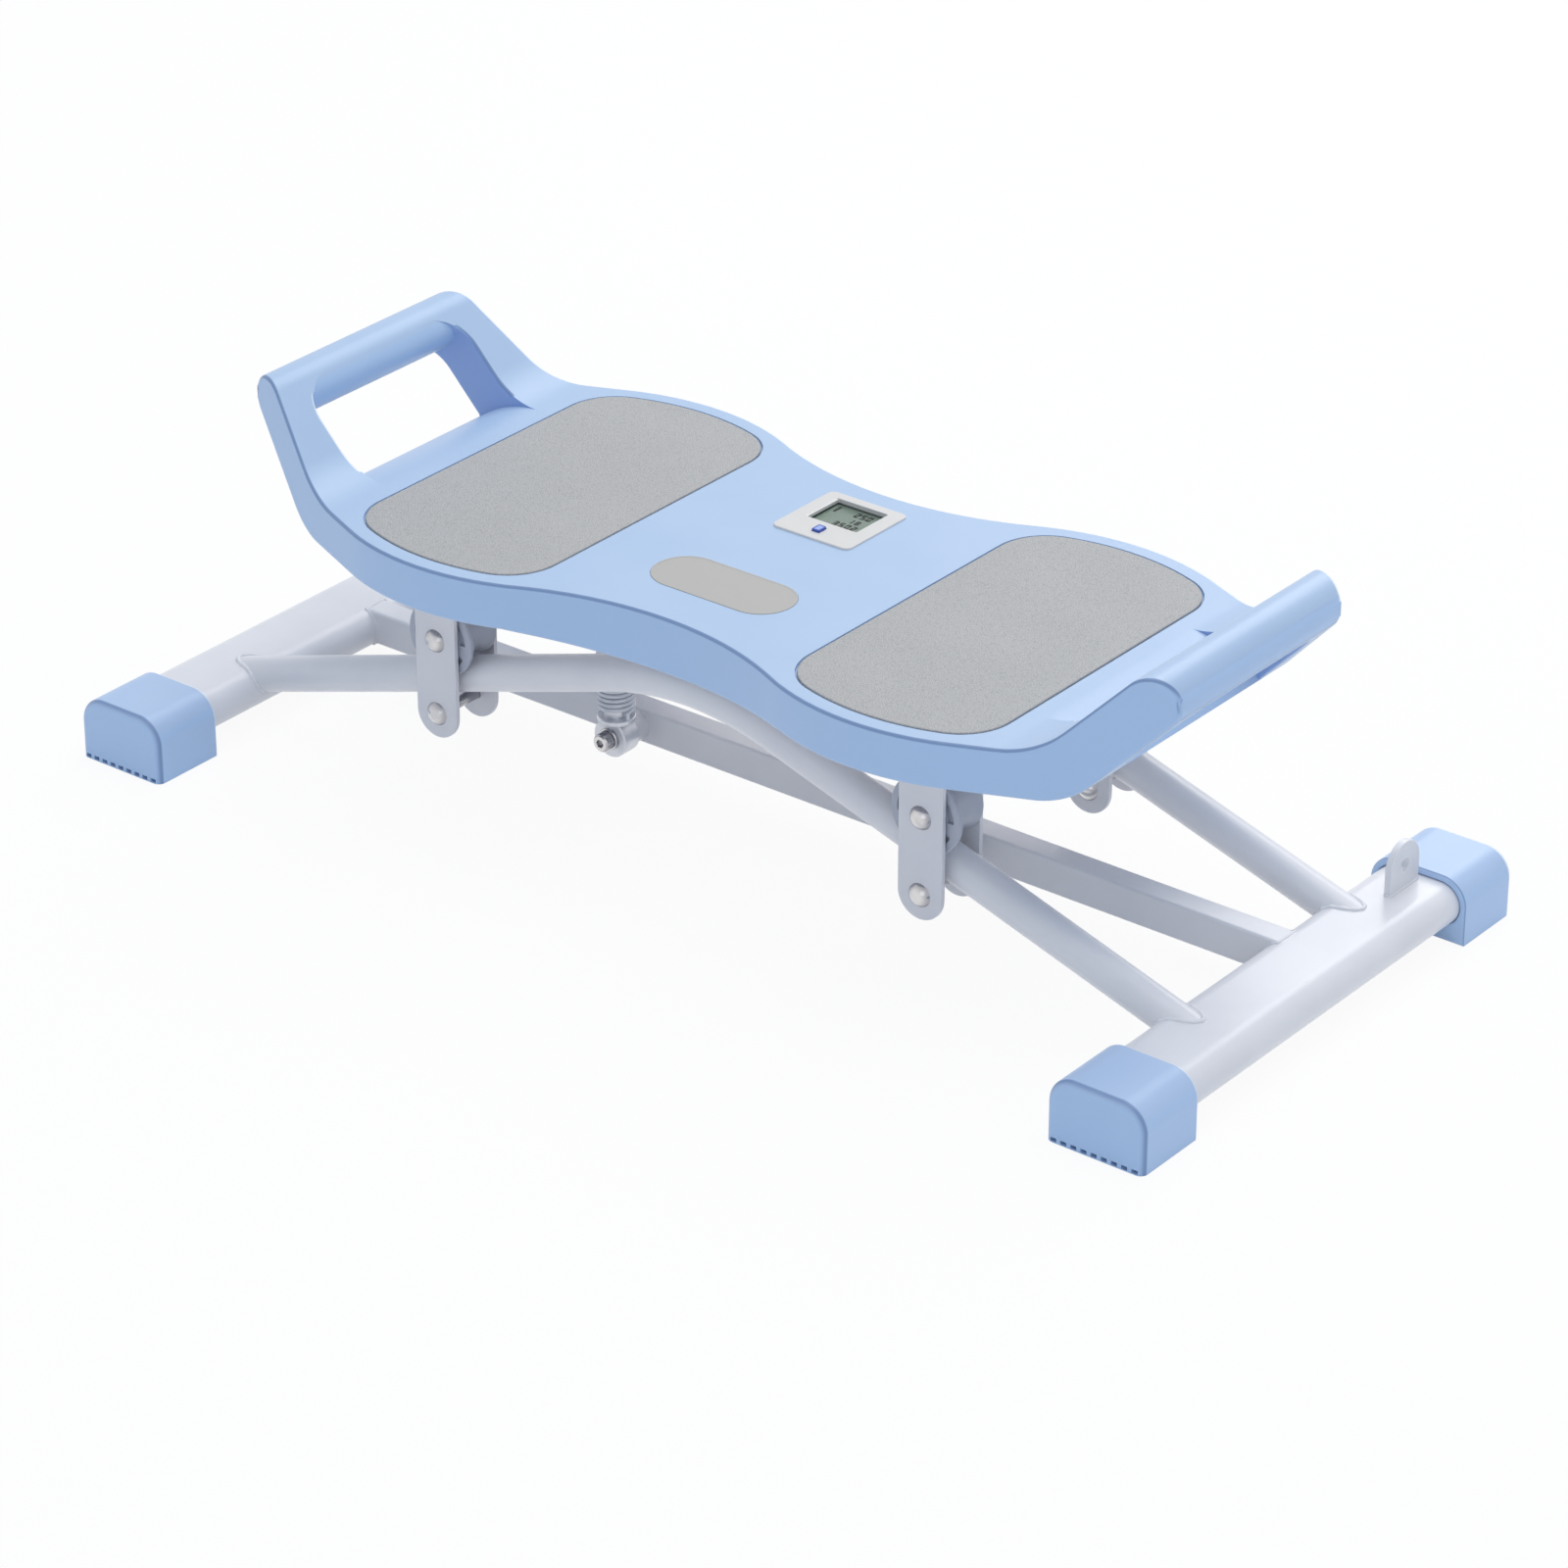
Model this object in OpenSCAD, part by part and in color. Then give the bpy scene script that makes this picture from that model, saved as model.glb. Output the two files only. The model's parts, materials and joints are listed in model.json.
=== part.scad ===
// Side glide exerciser: a deck with two foot treads rolls on four flanged rollers along two bent rails.
// Keeper bolts hold it down and two extension springs draw it back to the middle.
// Millimetres. The floor is z = 0, the front is -Y, and the origin is under the middle of the part.

/* [Crossbars and caps] */
// Distance from the middle to each crossbar's centre line
crossbar_x = 410.6; // [400:0.1:425]
// Width of the flat-oval crossbar tube
crossbar_w = 64; // [60:0.5:66]
// Height of the crossbar tube
crossbar_h = 30; // [28:0.5:32]
// Height of the crossbar's underside over the floor
crossbar_lift = 11.7; // [10:0.1:13]
// Wall of the crossbar tube
crossbar_wall = 2; // [1.5:0.1:3]
// Half of the overall depth, over the end caps
half_depth = 210; // [200:0.5:225]
// Width of an end cap
cap_w = 73.2; // [70:0.1:78]
// Length of an end cap along the crossbar
cap_l = 58.2; // [45:0.1:70]
// Height of an end cap
cap_h = 46.8; // [45:0.1:52]
// Thickness of a cap's closed end
cap_wall = 4; // [3:0.1:6]
// Radius along a cap's two upper edges
cap_top_r = 19; // [12:0.5:22]
// Radius of a cap's upright outer corners
cap_corner_r = 4; // [3:0.5:10]
// Radius along a cap's upper outer edge
cap_nose_r = 4; // [3:0.5:7]
// Number of grip notches under a cap's outer face
notch_count = 9; // [5:1:9]
// Distance between the notches
notch_pitch = 7.6; // [6.5:0.1:7.8]
// Width of a notch
notch_w = 4.2; // [3:0.1:5]
// Height of a notch
notch_h = 2.8; // [1.5:0.1:4]
// Depth of a notch
notch_d = 12; // [4:0.5:16]

/* [Rails and beam] */
// Outer diameter of a rail tube
rail_d = 25.4; // [24:0.1:27]
// Wall of a rail tube
rail_wall = 1.8; // [1.2:0.1:3]
// Distance from the middle to each rail
rail_y = 91.1; // [89:0.1:92.5]
// Slope of the straight legs, in degrees
leg_slope = 17.5; // [16.5:0.1:18]
// Radius of the bend at the top, to the tube's centre line
rail_bend_r = 225; // [180:1:240]
// How much the bending draws the tube's radius in
bend_draw = 0.05; // [0.03:0.01:0.1]
// Width of the centre beam
beam_w = 20; // [16:0.5:24]
// Height of the centre beam
beam_h = 25.7; // [20:0.1:27]
// Wall of the centre beam
beam_wall = 1.5; // [1.2:0.1:2.5]
// Distance from the middle to the centre beam's centre line
beam_y = 30.5; // [28:0.1:40]
// Width of a band lug
lug_w = 34; // [28:0.5:40]
// Thickness of a band lug
lug_t = 5; // [4:0.5:8]
// Gap between a lug and the mouth of its end cap
lug_to_cap = 3.8; // [2:0.1:6]
// Height of a lug's hole over the crossbar
lug_hole_rise = 16.8; // [14:0.1:22]
// Diameter of a lug's hole
lug_hole_d = 9.5; // [8:0.1:14]

/* [Rollers and brackets] */
// Distance from the middle to the brackets
bracket_x = 203.7; // [198:0.1:208]
// Width of a bracket's plates
bracket_w = 35; // [30:0.5:40]
// Thickness of a bracket's plates
bracket_t = 3.5; // [3:0.1:4]
// Distance from the middle to a bracket's outer face
bracket_outer_y = 113.3; // [112.5:0.1:115]
// Distance from the middle to a bracket's inner face
bracket_inner_y = 70; // [66:0.1:71]
// Height of the left axle bolts
axle_z = 125.5; // [122:0.1:128]
// Extra height of the right axle bolts, for their running play over the travel
right_axle_rise = 0.9; // [0.8:0.1:1.2]
// Drop from an axle bolt to the keeper bolt under the rail
keeper_drop = 54.7; // [53:0.1:58]
// Diameter of the axle and keeper bolts
bolt_d = 8; // [7:0.1:9]
// Diameter of a domed bolt head
bolt_head_d = 16.8; // [14:0.1:18]
// Height of a domed bolt head
bolt_head_h = 5; // [4:0.1:6]
// Width across the flats of an axle nut
nut_flats = 13; // [12:0.1:15]
// Height of an axle nut
nut_h = 6.5; // [5:0.1:8]
// Radius of a roller at its waist
roller_r = 18.3; // [17.5:0.1:18.5]
// Width of a roller's barrel
roller_w = 29; // [26:0.1:29.2]
// Radius of the hollow round the barrel, wider than the rail
roller_hollow_r = 34; // [28:1:60]
// Radius of a roller's flange
flange_r = 27.5; // [25:0.1:29]
// Thickness of a roller's flange
flange_t = 3.9; // [3.2:0.1:4.2]
// Number of curved pockets in a flange
pocket_count = 5; // [3:1:6]
// Angle that each pocket covers
pocket_angle = 44; // [20:1:50]
// Inner radius of the pockets
pocket_r = 17; // [15:0.1:18]
// Radial width of the pockets
pocket_w = 6; // [4:0.1:7]
// Depth of the pockets
pocket_d = 2.6; // [1:0.1:2.8]
// Outer diameter of a roller's inner sleeve
sleeve_d = 12; // [11:0.1:14]

/* [Deck] */
// Height of the deck's top
deck_top = 207; // [204:0.1:210]
// Height of the deck's lower edge
deck_bottom = 174; // [172:0.1:175]
// Height of the lower edge at the middle, where it bellies down
belly_z = 166.5; // [164:0.1:170]
// Half of the belly's length
belly_half = 115; // [90:1:140]
// Half width of the deck at its waist
waist_y = 119; // [117:0.5:126]
// Half width of the deck at its widest
crest_y = 160; // [156:0.5:164]
// Distance from the middle to the widest place
crest_x = 180; // [175:1:190]
// Radius of the waist's curve
waist_r = 243; // [225:1:260]
// Angle of the straight taper beyond the widest place
taper_angle = 23.3; // [22:0.1:25]
// Radius of the outer corners
end_corner_r = 4; // [3:0.5:16]
// Slope of the raised ends, in degrees
ramp_slope = 46.4; // [44:0.1:48]
// Distance from the middle to each hand grip
grip_x = 364.1; // [360:0.1:370]
// Height of the hand grips
grip_z = 249.9; // [246:0.1:254]
// Radius of the hand grips
grip_r = 18; // [16:0.1:18.5]
// Radius where the top turns up into a raised end
ramp_top_r = 55; // [40:1:60]
// Radius where the underside turns up
ramp_bottom_r = 45; // [35:1:60]
// Wall of the moulded shell
deck_wall = 4; // [3:0.1:5]
// Thickness of the shell's top over its hollow
deck_skin = 6.2; // [5.5:0.1:7]
// Half length of the hollow under the deck
hollow_half = 262; // [250:1:266]
// Half width of a hand opening
opening_y = 79; // [70:0.5:80]
// Corner radius of a hand opening
opening_r = 30; // [16:0.5:32]
// Where a hand opening begins, from the middle
opening_x = 277; // [275:0.5:280]
// Radius of the deck's rolled edge at a hand opening
roll_r = 85; // [80:1:90]
// Thickness of the steel base plate
base_t = 3; // [2:0.1:4]
// Rise of the base plate over the shell's lower edge
base_rise = 2; // [1:0.1:4]
// Diameter of a screw boss under the deck
boss_d = 12; // [10:0.5:16]

/* [Pads, badge and counter] */
// Where a foot pad begins, from the middle
pad_x0 = 106.5; // [100:0.5:110]
// Where a foot pad ends
pad_x1 = 261; // [255:0.5:264]
// Distance from a pad's curved edge to the deck's edge
pad_inset = 14; // [10:0.5:18]
// Corner radius of a foot pad
pad_r = 38; // [24:0.5:40]
// Thickness of a foot pad
pad_t = 3; // [2.5:0.1:3.2]
// Depth of the recess for a pad
pad_recess = 2.5; // [1:0.1:2.8]
// Width of the groove round a pad
pad_gap = 1.5; // [0.5:0.1:2]
// Length of the pill-shaped badge
badge_l = 110; // [90:1:118]
// Width of the badge
badge_w = 48; // [40:0.5:54]
// Distance from the middle to the badge's centre
badge_y = 57; // [50:0.5:62]
// Thickness of the badge
badge_t = 1.6; // [1:0.1:2]
// Depth of the recess for the badge
badge_recess = 1.2; // [0.6:0.1:2]
// Width of the counter's bezel
bezel_w = 65; // [60:0.5:70]
// Length of the counter's bezel
bezel_l = 67.5; // [64:0.5:74]
// Distance from the middle to the bezel's centre
bezel_y = 66.2; // [62:0.1:70]
// Corner radius of the bezel
bezel_r = 5.5; // [3:0.5:8]
// Height of the bezel over the deck
bezel_rise = 1.5; // [1:0.1:2.5]
// Thickness of the bezel's face
bezel_t = 3; // [2.5:0.1:4]
// Overlap of the bezel's rim on the deck
rim_w = 2.5; // [1.5:0.1:4]
// Wall of the counter's case
case_wall = 1.8; // [1.2:0.1:2.5]
// Depth of the counter's case under the deck's top
case_depth = 19; // [18:0.1:24]
// Width of the display window
window_w = 42; // [36:0.5:46]
// Length of the display window
window_l = 35; // [28:0.5:36]
// Distance from the bezel's rear edge to the window
window_margin = 8; // [7:0.1:10]
// Thickness of the clear window
window_t = 1.2; // [0.8:0.1:2]
// Thickness of the display under the window
display_t = 3.2; // [2:0.1:4]
// Width of the button
button_w = 6.5; // [5:0.1:9]
// Length of the button
button_l = 8.5; // [6:0.1:11]
// Sideways place of the button
button_x = -1.2; // [-6:0.1:6]
// Distance from the bezel's front edge to the button
button_margin = 12.8; // [11:0.1:14]
// Height of the button over the bezel
button_rise = 1.6; // [1.2:0.1:2.5]
// Travel of the button
button_travel = 1; // [0.6:0.1:1.2]
// Diameter of the counter's cell
cell_d = 20; // [11:0.5:24]
// Thickness of the counter's cell
cell_t = 3.2; // [2:0.1:5]

/* [Springs] */
// Distance from the middle to each spring
spring_x = 141; // [136:0.5:146]
// Outer diameter of a spring
spring_d = 27; // [26:0.1:30]
// Diameter of the spring wire
wire_d = 3; // [2.8:0.1:3.1]
// Number of curls in a spring
spring_turns = 25; // [20:1:25]
// Height of the lower eye's bolt
lower_eye_z = 29; // [28:0.1:31]
// Outer radius of the lower eye
lower_eye_r = 14; // [12:0.1:14]
// Height of the upper eye's pin
upper_eye_z = 158; // [156:0.1:160]
// Outer radius of the upper eye
upper_eye_r = 11.5; // [10:0.1:12]
// Width of an eye, front to back
eye_w = 16; // [14:0.1:18]
// Radius of the plug that holds the curls
plug_r = 8.6; // [7:0.1:8.8]
// Length of the plug inside the curls
plug_l = 15; // [10:0.5:24]
// Height of a plug's collar over its eye
collar_h = 2; // [1:0.1:4]
// Diameter of the socket head on the lower eye's bolt
socket_head_d = 13; // [12:0.1:16]
// Height of the socket head
socket_head_h = 8; // [6:0.1:10]
// Thickness of a clevis cheek under the base plate
clevis_t = 3; // [2:0.1:4]

/* [Fits] */
// Radial clearance of a bolt or sleeve in its bore
bore_fit = 0.05; // [0.02:0.01:0.09]
// Gap between neighbouring pieces that don't move on each other
seat_gap = 0.2; // [0.1:0.05:0.3]
// Gap between a moving piece and what it runs beside
run_gap = 0.4; // [0.3:0.05:0.6]
// Gap between the left rollers and their rail
roller_gap = 0.3; // [0.25:0.05:0.4]

/* [Hidden] */

$fn = 72;
arc_steps = 14;
cut = 1;
far = 400;

crossbar_top = crossbar_lift + crossbar_h;
crossbar_mid = crossbar_lift + crossbar_h / 2;
crossbar_half = half_depth - cap_wall - seat_gap;
lug_y = half_depth - cap_l - lug_to_cap - lug_w / 2;
bolt_r = bolt_d / 2;
rail_r = rail_d / 2;
sleeve_r = sleeve_d / 2;

// The rail's centre line runs under the left rollers with their gap, then through the bend
rail_drop = (rail_r + roller_r + roller_gap) / cos(leg_slope);
leg_z = axle_z - rail_drop;
peak_z = leg_z + bracket_x * tan(leg_slope);
apex_z = peak_z - rail_bend_r * (1 / cos(leg_slope) - 1);
bend_z = apex_z - rail_bend_r;
leg_l = (crossbar_x - rail_bend_r * sin(leg_slope)) / cos(leg_slope);

beam_top = crossbar_top;
beam_front = beam_y - beam_w / 2;

// The plates of a bracket, seen from the middle outwards
plate_inner = bracket_inner_y + bracket_t;
plate_outer = bracket_outer_y - bracket_t;
roller_room = plate_outer - plate_inner - roller_w - flange_t;
outer_share = 0.45;
flange_y = plate_outer - roller_room * outer_share;
barrel_outer_y = flange_y - flange_t;
barrel_inner_y = barrel_outer_y - roller_w;

base_z = deck_bottom + base_rise;
base_top = base_z + base_t;
hollow_roof = deck_top - deck_skin;
bracket_top = base_z;

// The deck's outline: a waist circle and a crest circle that touch, then a straight taper
waist_c = waist_y + waist_r;
crest_r = (pow(crest_x, 2) + pow(waist_y - crest_y, 2)) / (2 * (crest_y - waist_y)) - waist_r;
crest_c = crest_y - crest_r;
waist_a = asin(crest_x / (waist_r + crest_r));
deck_end = grip_x + grip_r;

// The deck's side view: each raised end is a band of the grip's thickness
grip_c = [grip_x, grip_z];
ramp_n = [-sin(ramp_slope), cos(ramp_slope)];
upper_touch = grip_c + grip_r * ramp_n;
lower_touch = grip_c - grip_r * ramp_n;
top_turn = upper_touch[0] - (upper_touch[1] - deck_top) / tan(ramp_slope);
bottom_turn = lower_touch[0] - (lower_touch[1] - deck_bottom) / tan(ramp_slope);
top_fillet_x = top_turn - ramp_top_r * tan(ramp_slope / 2);
bottom_fillet_x = bottom_turn - ramp_bottom_r * tan(ramp_slope / 2);
belly_drop = deck_bottom - belly_z;
belly_r = (pow(belly_half, 2) + pow(belly_drop, 2)) / (2 * belly_drop);
belly_a = asin(belly_half / belly_r);

// The rolled edge falls away through the deck's top, a little after the opening begins
roll_turn = 5;
roll_start = opening_x + 4;
grip_swell = 0.5;
roll_c = [roll_start - roll_r * sin(roll_turn), deck_top - roll_r * cos(roll_turn)];
opening_l = (grip_x - opening_x) * cos(ramp_slope) + (grip_z - deck_top) * sin(ramp_slope);

// Screws: from the hollow's end to the end screw and to the corner screws
end_screw_in = 17;
corner_screw_in = 22;
corner_screw_y = 95;
screw_places = [[30, 0], [90, 60], [90, -60], [hollow_half - end_screw_in, 0],
    [hollow_half - corner_screw_in, corner_screw_y], [hollow_half - corner_screw_in, -corner_screw_y]];
bracket_bolt_r = 3;
bracket_bolt_step = 9;
bracket_bolt_head_h = 4;
bracket_bolt_flats = 10;
deck_screw_r = 2;
deck_screw_head_r = 4.5;
deck_screw_head_h = 2.5;
deck_screw_l = 14;

bezel_top = deck_top + bezel_rise;
bezel_under = bezel_top - bezel_t;
case_floor = deck_top - case_depth;
case_w = bezel_w - 2 * rim_w;
case_l = bezel_l - 2 * rim_w;
back_t = 1.6;
board_t = 1.6;
window_top = bezel_under;
window_z = window_top - window_t;
display_z = window_z - seat_gap - display_t;
board_z = display_z - board_t;
window_y = bezel_y + bezel_l / 2 - window_margin - window_l / 2;
button_y = bezel_y - bezel_l / 2 + button_margin;
button_gap = 0.25;
button_lip = 1;
board_margin = 0.4;
post_d = 4;

eye_front = -eye_w / 2;
mount_front = eye_w / 2 + seat_gap;
washer_t = 2;
washer_r = 8;
collar_r = spring_d / 2;
collar_t = 4;
lower_seat = lower_eye_z + lower_eye_r + collar_h;
upper_seat = upper_eye_z - upper_eye_r - collar_h;
clevis_inner = eye_w / 2 + run_gap;
clevis_r = upper_eye_r + collar_h - collar_t - run_gap;
mount_r = lower_eye_r + collar_h - collar_t - run_gap;
pin_head_r = 6;
pin_head_h = 3;

// A spring's wire: curls of eight rings, and an end that bends down square onto its collar
curl_rings = 8;
wire_sides = 6;
wire_r = wire_d / 2;
coil_r = spring_d / 2 - wire_r;
wire_bend = 0.75 * wire_d;
wire_end = wire_d + wire_bend;
coil_low = lower_seat + wire_end;
coil_high = upper_seat - wire_end;
coil_pitch = (coil_high - coil_low) / spring_turns;

// Points on a circle's arc from angle a0 to a1
function arc(c, r, a0, a1, n = arc_steps) =
    [for (i = [0:n]) let (a = a0 + (a1 - a0) * i / n) [c[0] + r * cos(a), c[1] + r * sin(a)]];

function mirrored(points) = [for (i = [len(points) - 1:-1:0]) [-points[i][0], points[i][1]]];

function flipped(points) = [for (i = [len(points) - 1:-1:0]) [points[i][0], -points[i][1]]];

function deck_side() = let (right = concat(
        arc([top_fillet_x, deck_top + ramp_top_r], ramp_top_r, -90, ramp_slope - 90),
        arc(grip_c, grip_r, 90 + ramp_slope, ramp_slope - 90, 2 * arc_steps),
        arc([bottom_fillet_x, deck_bottom + ramp_bottom_r], ramp_bottom_r, ramp_slope - 90, -90),
        arc([0, belly_z + belly_r], belly_r, belly_a - 90, -90)))
    concat(mirrored(right), right);

// A foot pad's outline, grown by g: two straight edges and two that follow the deck's crest
function pad_half(g) = let (r = pad_r + g, big = crest_r - pad_inset + g,
        xo = pad_x1 + g - r, xi = pad_x0 - g + r,
        yo = crest_c + sqrt(pow(big - r, 2) - pow(xo - crest_x, 2)),
        yi = crest_c + sqrt(pow(big - r, 2) - pow(xi - crest_x, 2)),
        ao = atan2(yo - crest_c, xo - crest_x), ai = atan2(yi - crest_c, xi - crest_x))
    concat(arc([xo, yo], r, 0, ao), arc([crest_x, crest_c], big, ao, ai), arc([xi, yi], r, ai, 180));

function pad_outline(g) = concat(pad_half(g), flipped(pad_half(g)));

// One end of a spring's wire: down the collar, round a bend and into the first curl
function wire_lead() = concat([[coil_r, -wire_bend, 0]],
    [for (a = [0:30:60]) [coil_r, -wire_bend * cos(a), wire_d + wire_bend * sin(a)]]);

function curls() = [for (i = [0:spring_turns * curl_rings]) let (a = 360 * i / curl_rings)
    [coil_r * cos(a), coil_r * sin(a), coil_low + coil_pitch * i / curl_rings]];

function lead_up() = [for (p = wire_lead()) [p[0], p[1], lower_seat + p[2]]];

// The upper lead is the lower one turned over, so that it meets the last curl the same way
function lead_down() = [for (i = [len(wire_lead()) - 1:-1:0]) let (p = wire_lead()[i])
    [p[0], -p[1], upper_seat - p[2]]];

wire_path = concat(lead_up(), curls(), lead_down());

function unit(v) = v / norm(v);

// Each ring of the wire stands square to its path and keeps one side towards the spring's axis
function ring(path, i) = let (a = path[max(i - 1, 0)], b = path[min(i + 1, len(path) - 1)],
        ends = i == 0 || i == len(path) - 1, t = ends ? [0, 0, 1] : unit(b - a),
        out = unit([path[i][0], path[i][1], 0]), u = unit(out - (out * t) * t), v = cross(t, u))
    [for (k = [0:wire_sides - 1]) let (w = 360 * k / wire_sides)
        path[i] + wire_r * (cos(w) * u + sin(w) * v)];

wire_rings = [for (i = [0:len(wire_path) - 1]) ring(wire_path, i)];
wire_points = [for (r = wire_rings) each r];
wire_faces = concat([[for (k = [0:wire_sides - 1]) k]],
    [for (i = [0:len(wire_rings) - 2]) for (k = [0:wire_sides - 1])
        each let (p = i * wire_sides, q = p + wire_sides, m = (k + 1) % wire_sides)
            [[p + k, q + k, q + m], [p + k, q + m, p + m]]],
    [[for (k = [wire_sides - 1:-1:0]) (len(wire_rings) - 1) * wire_sides + k]]);

// Least distance between the points of a ring and those of the rings one curl further on
wire_gap = min([for (i = [0:len(wire_rings) - 1]) for (j = [i + curl_rings - 2:i + curl_rings + 2])
    if (j < len(wire_rings)) for (p = wire_rings[i]) for (q = wire_rings[j]) norm(p - q)]);
echo(spring_gap = wire_gap);

// Extrudes a flat shape, drawn in X and Z, along Y
module along_y(y0, y1) {
    translate([0, y1, 0]) rotate([90, 0, 0]) linear_extrude(y1 - y0) children();
}

// Extrudes a flat shape, drawn in Y and Z, along X
module along_x(x0, x1) {
    translate([x0, 0, 0]) rotate([90, 0, 90]) linear_extrude(x1 - x0) children();
}

module rod_y(r, y0, y1) {
    translate([0, y0, 0]) rotate([-90, 0, 0]) cylinder(r = r, h = y1 - y0);
}

module flat_oval(grow) {
    r = crossbar_h / 2 + grow;
    reach = crossbar_w / 2 - crossbar_h / 2;
    translate([-reach, -r]) square([2 * reach, 2 * r]);
    for (s = [-1, 1]) translate([s * reach, 0]) circle(r);
}

module rounded_box(w, l, r) {
    translate([-w / 2 + r, -l / 2]) square([w - 2 * r, l]);
    translate([-w / 2, -l / 2 + r]) square([w, l - 2 * r]);
    for (sx = [-1, 1]) for (sy = [-1, 1]) translate([sx * (w / 2 - r), sy * (l / 2 - r)]) circle(r);
}

module crossbar_solid(side, grow, half) {
    translate([side * crossbar_x, 0, crossbar_mid]) along_y(-half, half) flat_oval(grow);
}

module crossbar(side) {
    color("whitesmoke") difference() {
        crossbar_solid(side, 0, crossbar_half);
        crossbar_solid(side, -crossbar_wall, crossbar_half + cut);
    }
}

// A cap's end view: upright sides and two rounded upper edges
module cap_end() {
    translate([-cap_w / 2, 0]) square([cap_w, cap_h - cap_top_r]);
    translate([-cap_w / 2 + cap_top_r, 0]) square([cap_w - 2 * cap_top_r, cap_h]);
    for (s = [-1, 1]) translate([s * (cap_w / 2 - cap_top_r), cap_h - cap_top_r]) circle(cap_top_r);
}

// A cap's plan, from its mouth to its rounded outer corners
module cap_plan() {
    mouth = half_depth - cap_l;
    translate([-cap_w / 2, mouth]) square([cap_w, cap_l - cap_corner_r]);
    translate([-cap_w / 2 + cap_corner_r, mouth]) square([cap_w - 2 * cap_corner_r, cap_l]);
    for (s = [-1, 1]) translate([s * (cap_w / 2 - cap_corner_r), half_depth - cap_corner_r])
        circle(cap_corner_r);
}

// A cap's side view, with its rounded upper outer edge
module cap_side() {
    mouth = half_depth - cap_l;
    translate([mouth, 0]) square([cap_l - cap_nose_r, cap_h]);
    translate([mouth, 0]) square([cap_l, cap_h - cap_nose_r]);
    translate([half_depth - cap_nose_r, cap_h - cap_nose_r]) circle(cap_nose_r);
}

module cap_solid() {
    difference() {
        intersection() {
            along_y(half_depth - cap_l, half_depth) cap_end();
            linear_extrude(cap_h) cap_plan();
            along_x(-cap_w / 2, cap_w / 2) cap_side();
        }
        translate([0, 0, crossbar_mid]) along_y(half_depth - cap_l - cut, half_depth - cap_wall)
            flat_oval(seat_gap);
        for (i = [0:notch_count - 1])
            translate([(i - (notch_count - 1) / 2) * notch_pitch - notch_w / 2, half_depth - notch_d, -cut])
                cube([notch_w, notch_d + cut, notch_h + cut]);
    }
}

module end_cap(side, end) {
    color("lightsteelblue") translate([side * crossbar_x, 0, 0]) mirror([0, end < 0 ? 1 : 0, 0]) cap_solid();
}

// The whole run of a rail at one radius: a bend, and two straight legs that lap into it a little
module rail_run(r, extra) {
    lap = 1;
    translate([0, 0, bend_z]) rotate([90, 0, 0]) rotate([0, 0, 90 - leg_slope])
        rotate_extrude(angle = 2 * leg_slope, $fn = 180) translate([rail_bend_r, 0]) circle(r - bend_draw);
    for (s = [-1, 1])
        translate([s * rail_bend_r * sin(leg_slope), 0, bend_z + rail_bend_r * cos(leg_slope)])
            rotate([0, s * (90 + leg_slope), 0]) rotate([0, 0, s > 0 ? 180 : 0]) translate([0, 0, -lap])
                cylinder(r = r, h = leg_l + lap + extra);
}

module rail(end) {
    color("whitesmoke") difference() {
        translate([0, end * rail_y, 0]) rail_run(rail_r, 0);
        translate([0, end * rail_y, 0]) rail_run(rail_r - rail_wall, cut);
        for (s = [-1, 1]) crossbar_solid(s, 0, crossbar_half);
    }
}

module centre_beam() {
    reach = crossbar_x - crossbar_w / 2 + crossbar_h / 2;
    color("whitesmoke") difference() {
        translate([-reach, beam_front, beam_top - beam_h]) cube([2 * reach, beam_w, beam_h]);
        translate([-reach - cut, beam_front + beam_wall, beam_top - beam_h + beam_wall])
            cube([2 * (reach + cut), beam_w - 2 * beam_wall, beam_h - 2 * beam_wall]);
        for (s = [-1, 1]) crossbar_solid(s, 0, crossbar_half);
    }
}

module band_lug(side) {
    hole_z = crossbar_top + lug_hole_rise;
    x = side * crossbar_x;
    color("whitesmoke") along_x(x - lug_t / 2, x + lug_t / 2) difference() {
        union() {
            translate([lug_y - lug_w / 2, crossbar_top]) square([lug_w, lug_hole_rise]);
            translate([lug_y, hole_z]) circle(lug_w / 2);
        }
        translate([lug_y, hole_z]) circle(lug_hole_d / 2);
        translate([lug_y - lug_w, crossbar_top - lug_w]) square([2 * lug_w, lug_w]);
    }
}

// The boss on the beam's front face that the lower eye's bolt screws into
module spring_mount(side) {
    color("lightgray") translate([side * spring_x, 0, lower_eye_z]) difference() {
        rod_y(mount_r, mount_front, beam_front);
        rod_y(bolt_r + bore_fit, mount_front - cut, beam_front + cut);
    }
}

module spring_bolts() {
    head_y = eye_front - seat_gap - washer_t;
    socket_r = socket_head_d / 4;
    color("silver") for (s = [-1, 1]) translate([s * spring_x, 0, lower_eye_z]) difference() {
        union() {
            rod_y(socket_head_d / 2, head_y - socket_head_h, head_y);
            rod_y(bolt_r, head_y, beam_front);
        }
        translate([0, head_y - socket_head_h - cut, 0]) rotate([-90, 0, 0])
            cylinder(r = socket_r, h = socket_head_h / 2 + cut, $fn = 6);
    }
}

module spring_washers() {
    inner = eye_front - seat_gap;
    color("silver") for (s = [-1, 1]) translate([s * spring_x, 0, lower_eye_z]) difference() {
        rod_y(washer_r, inner - washer_t, inner);
        rod_y(bolt_r + bore_fit, inner - washer_t - cut, inner + cut);
    }
}

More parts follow.
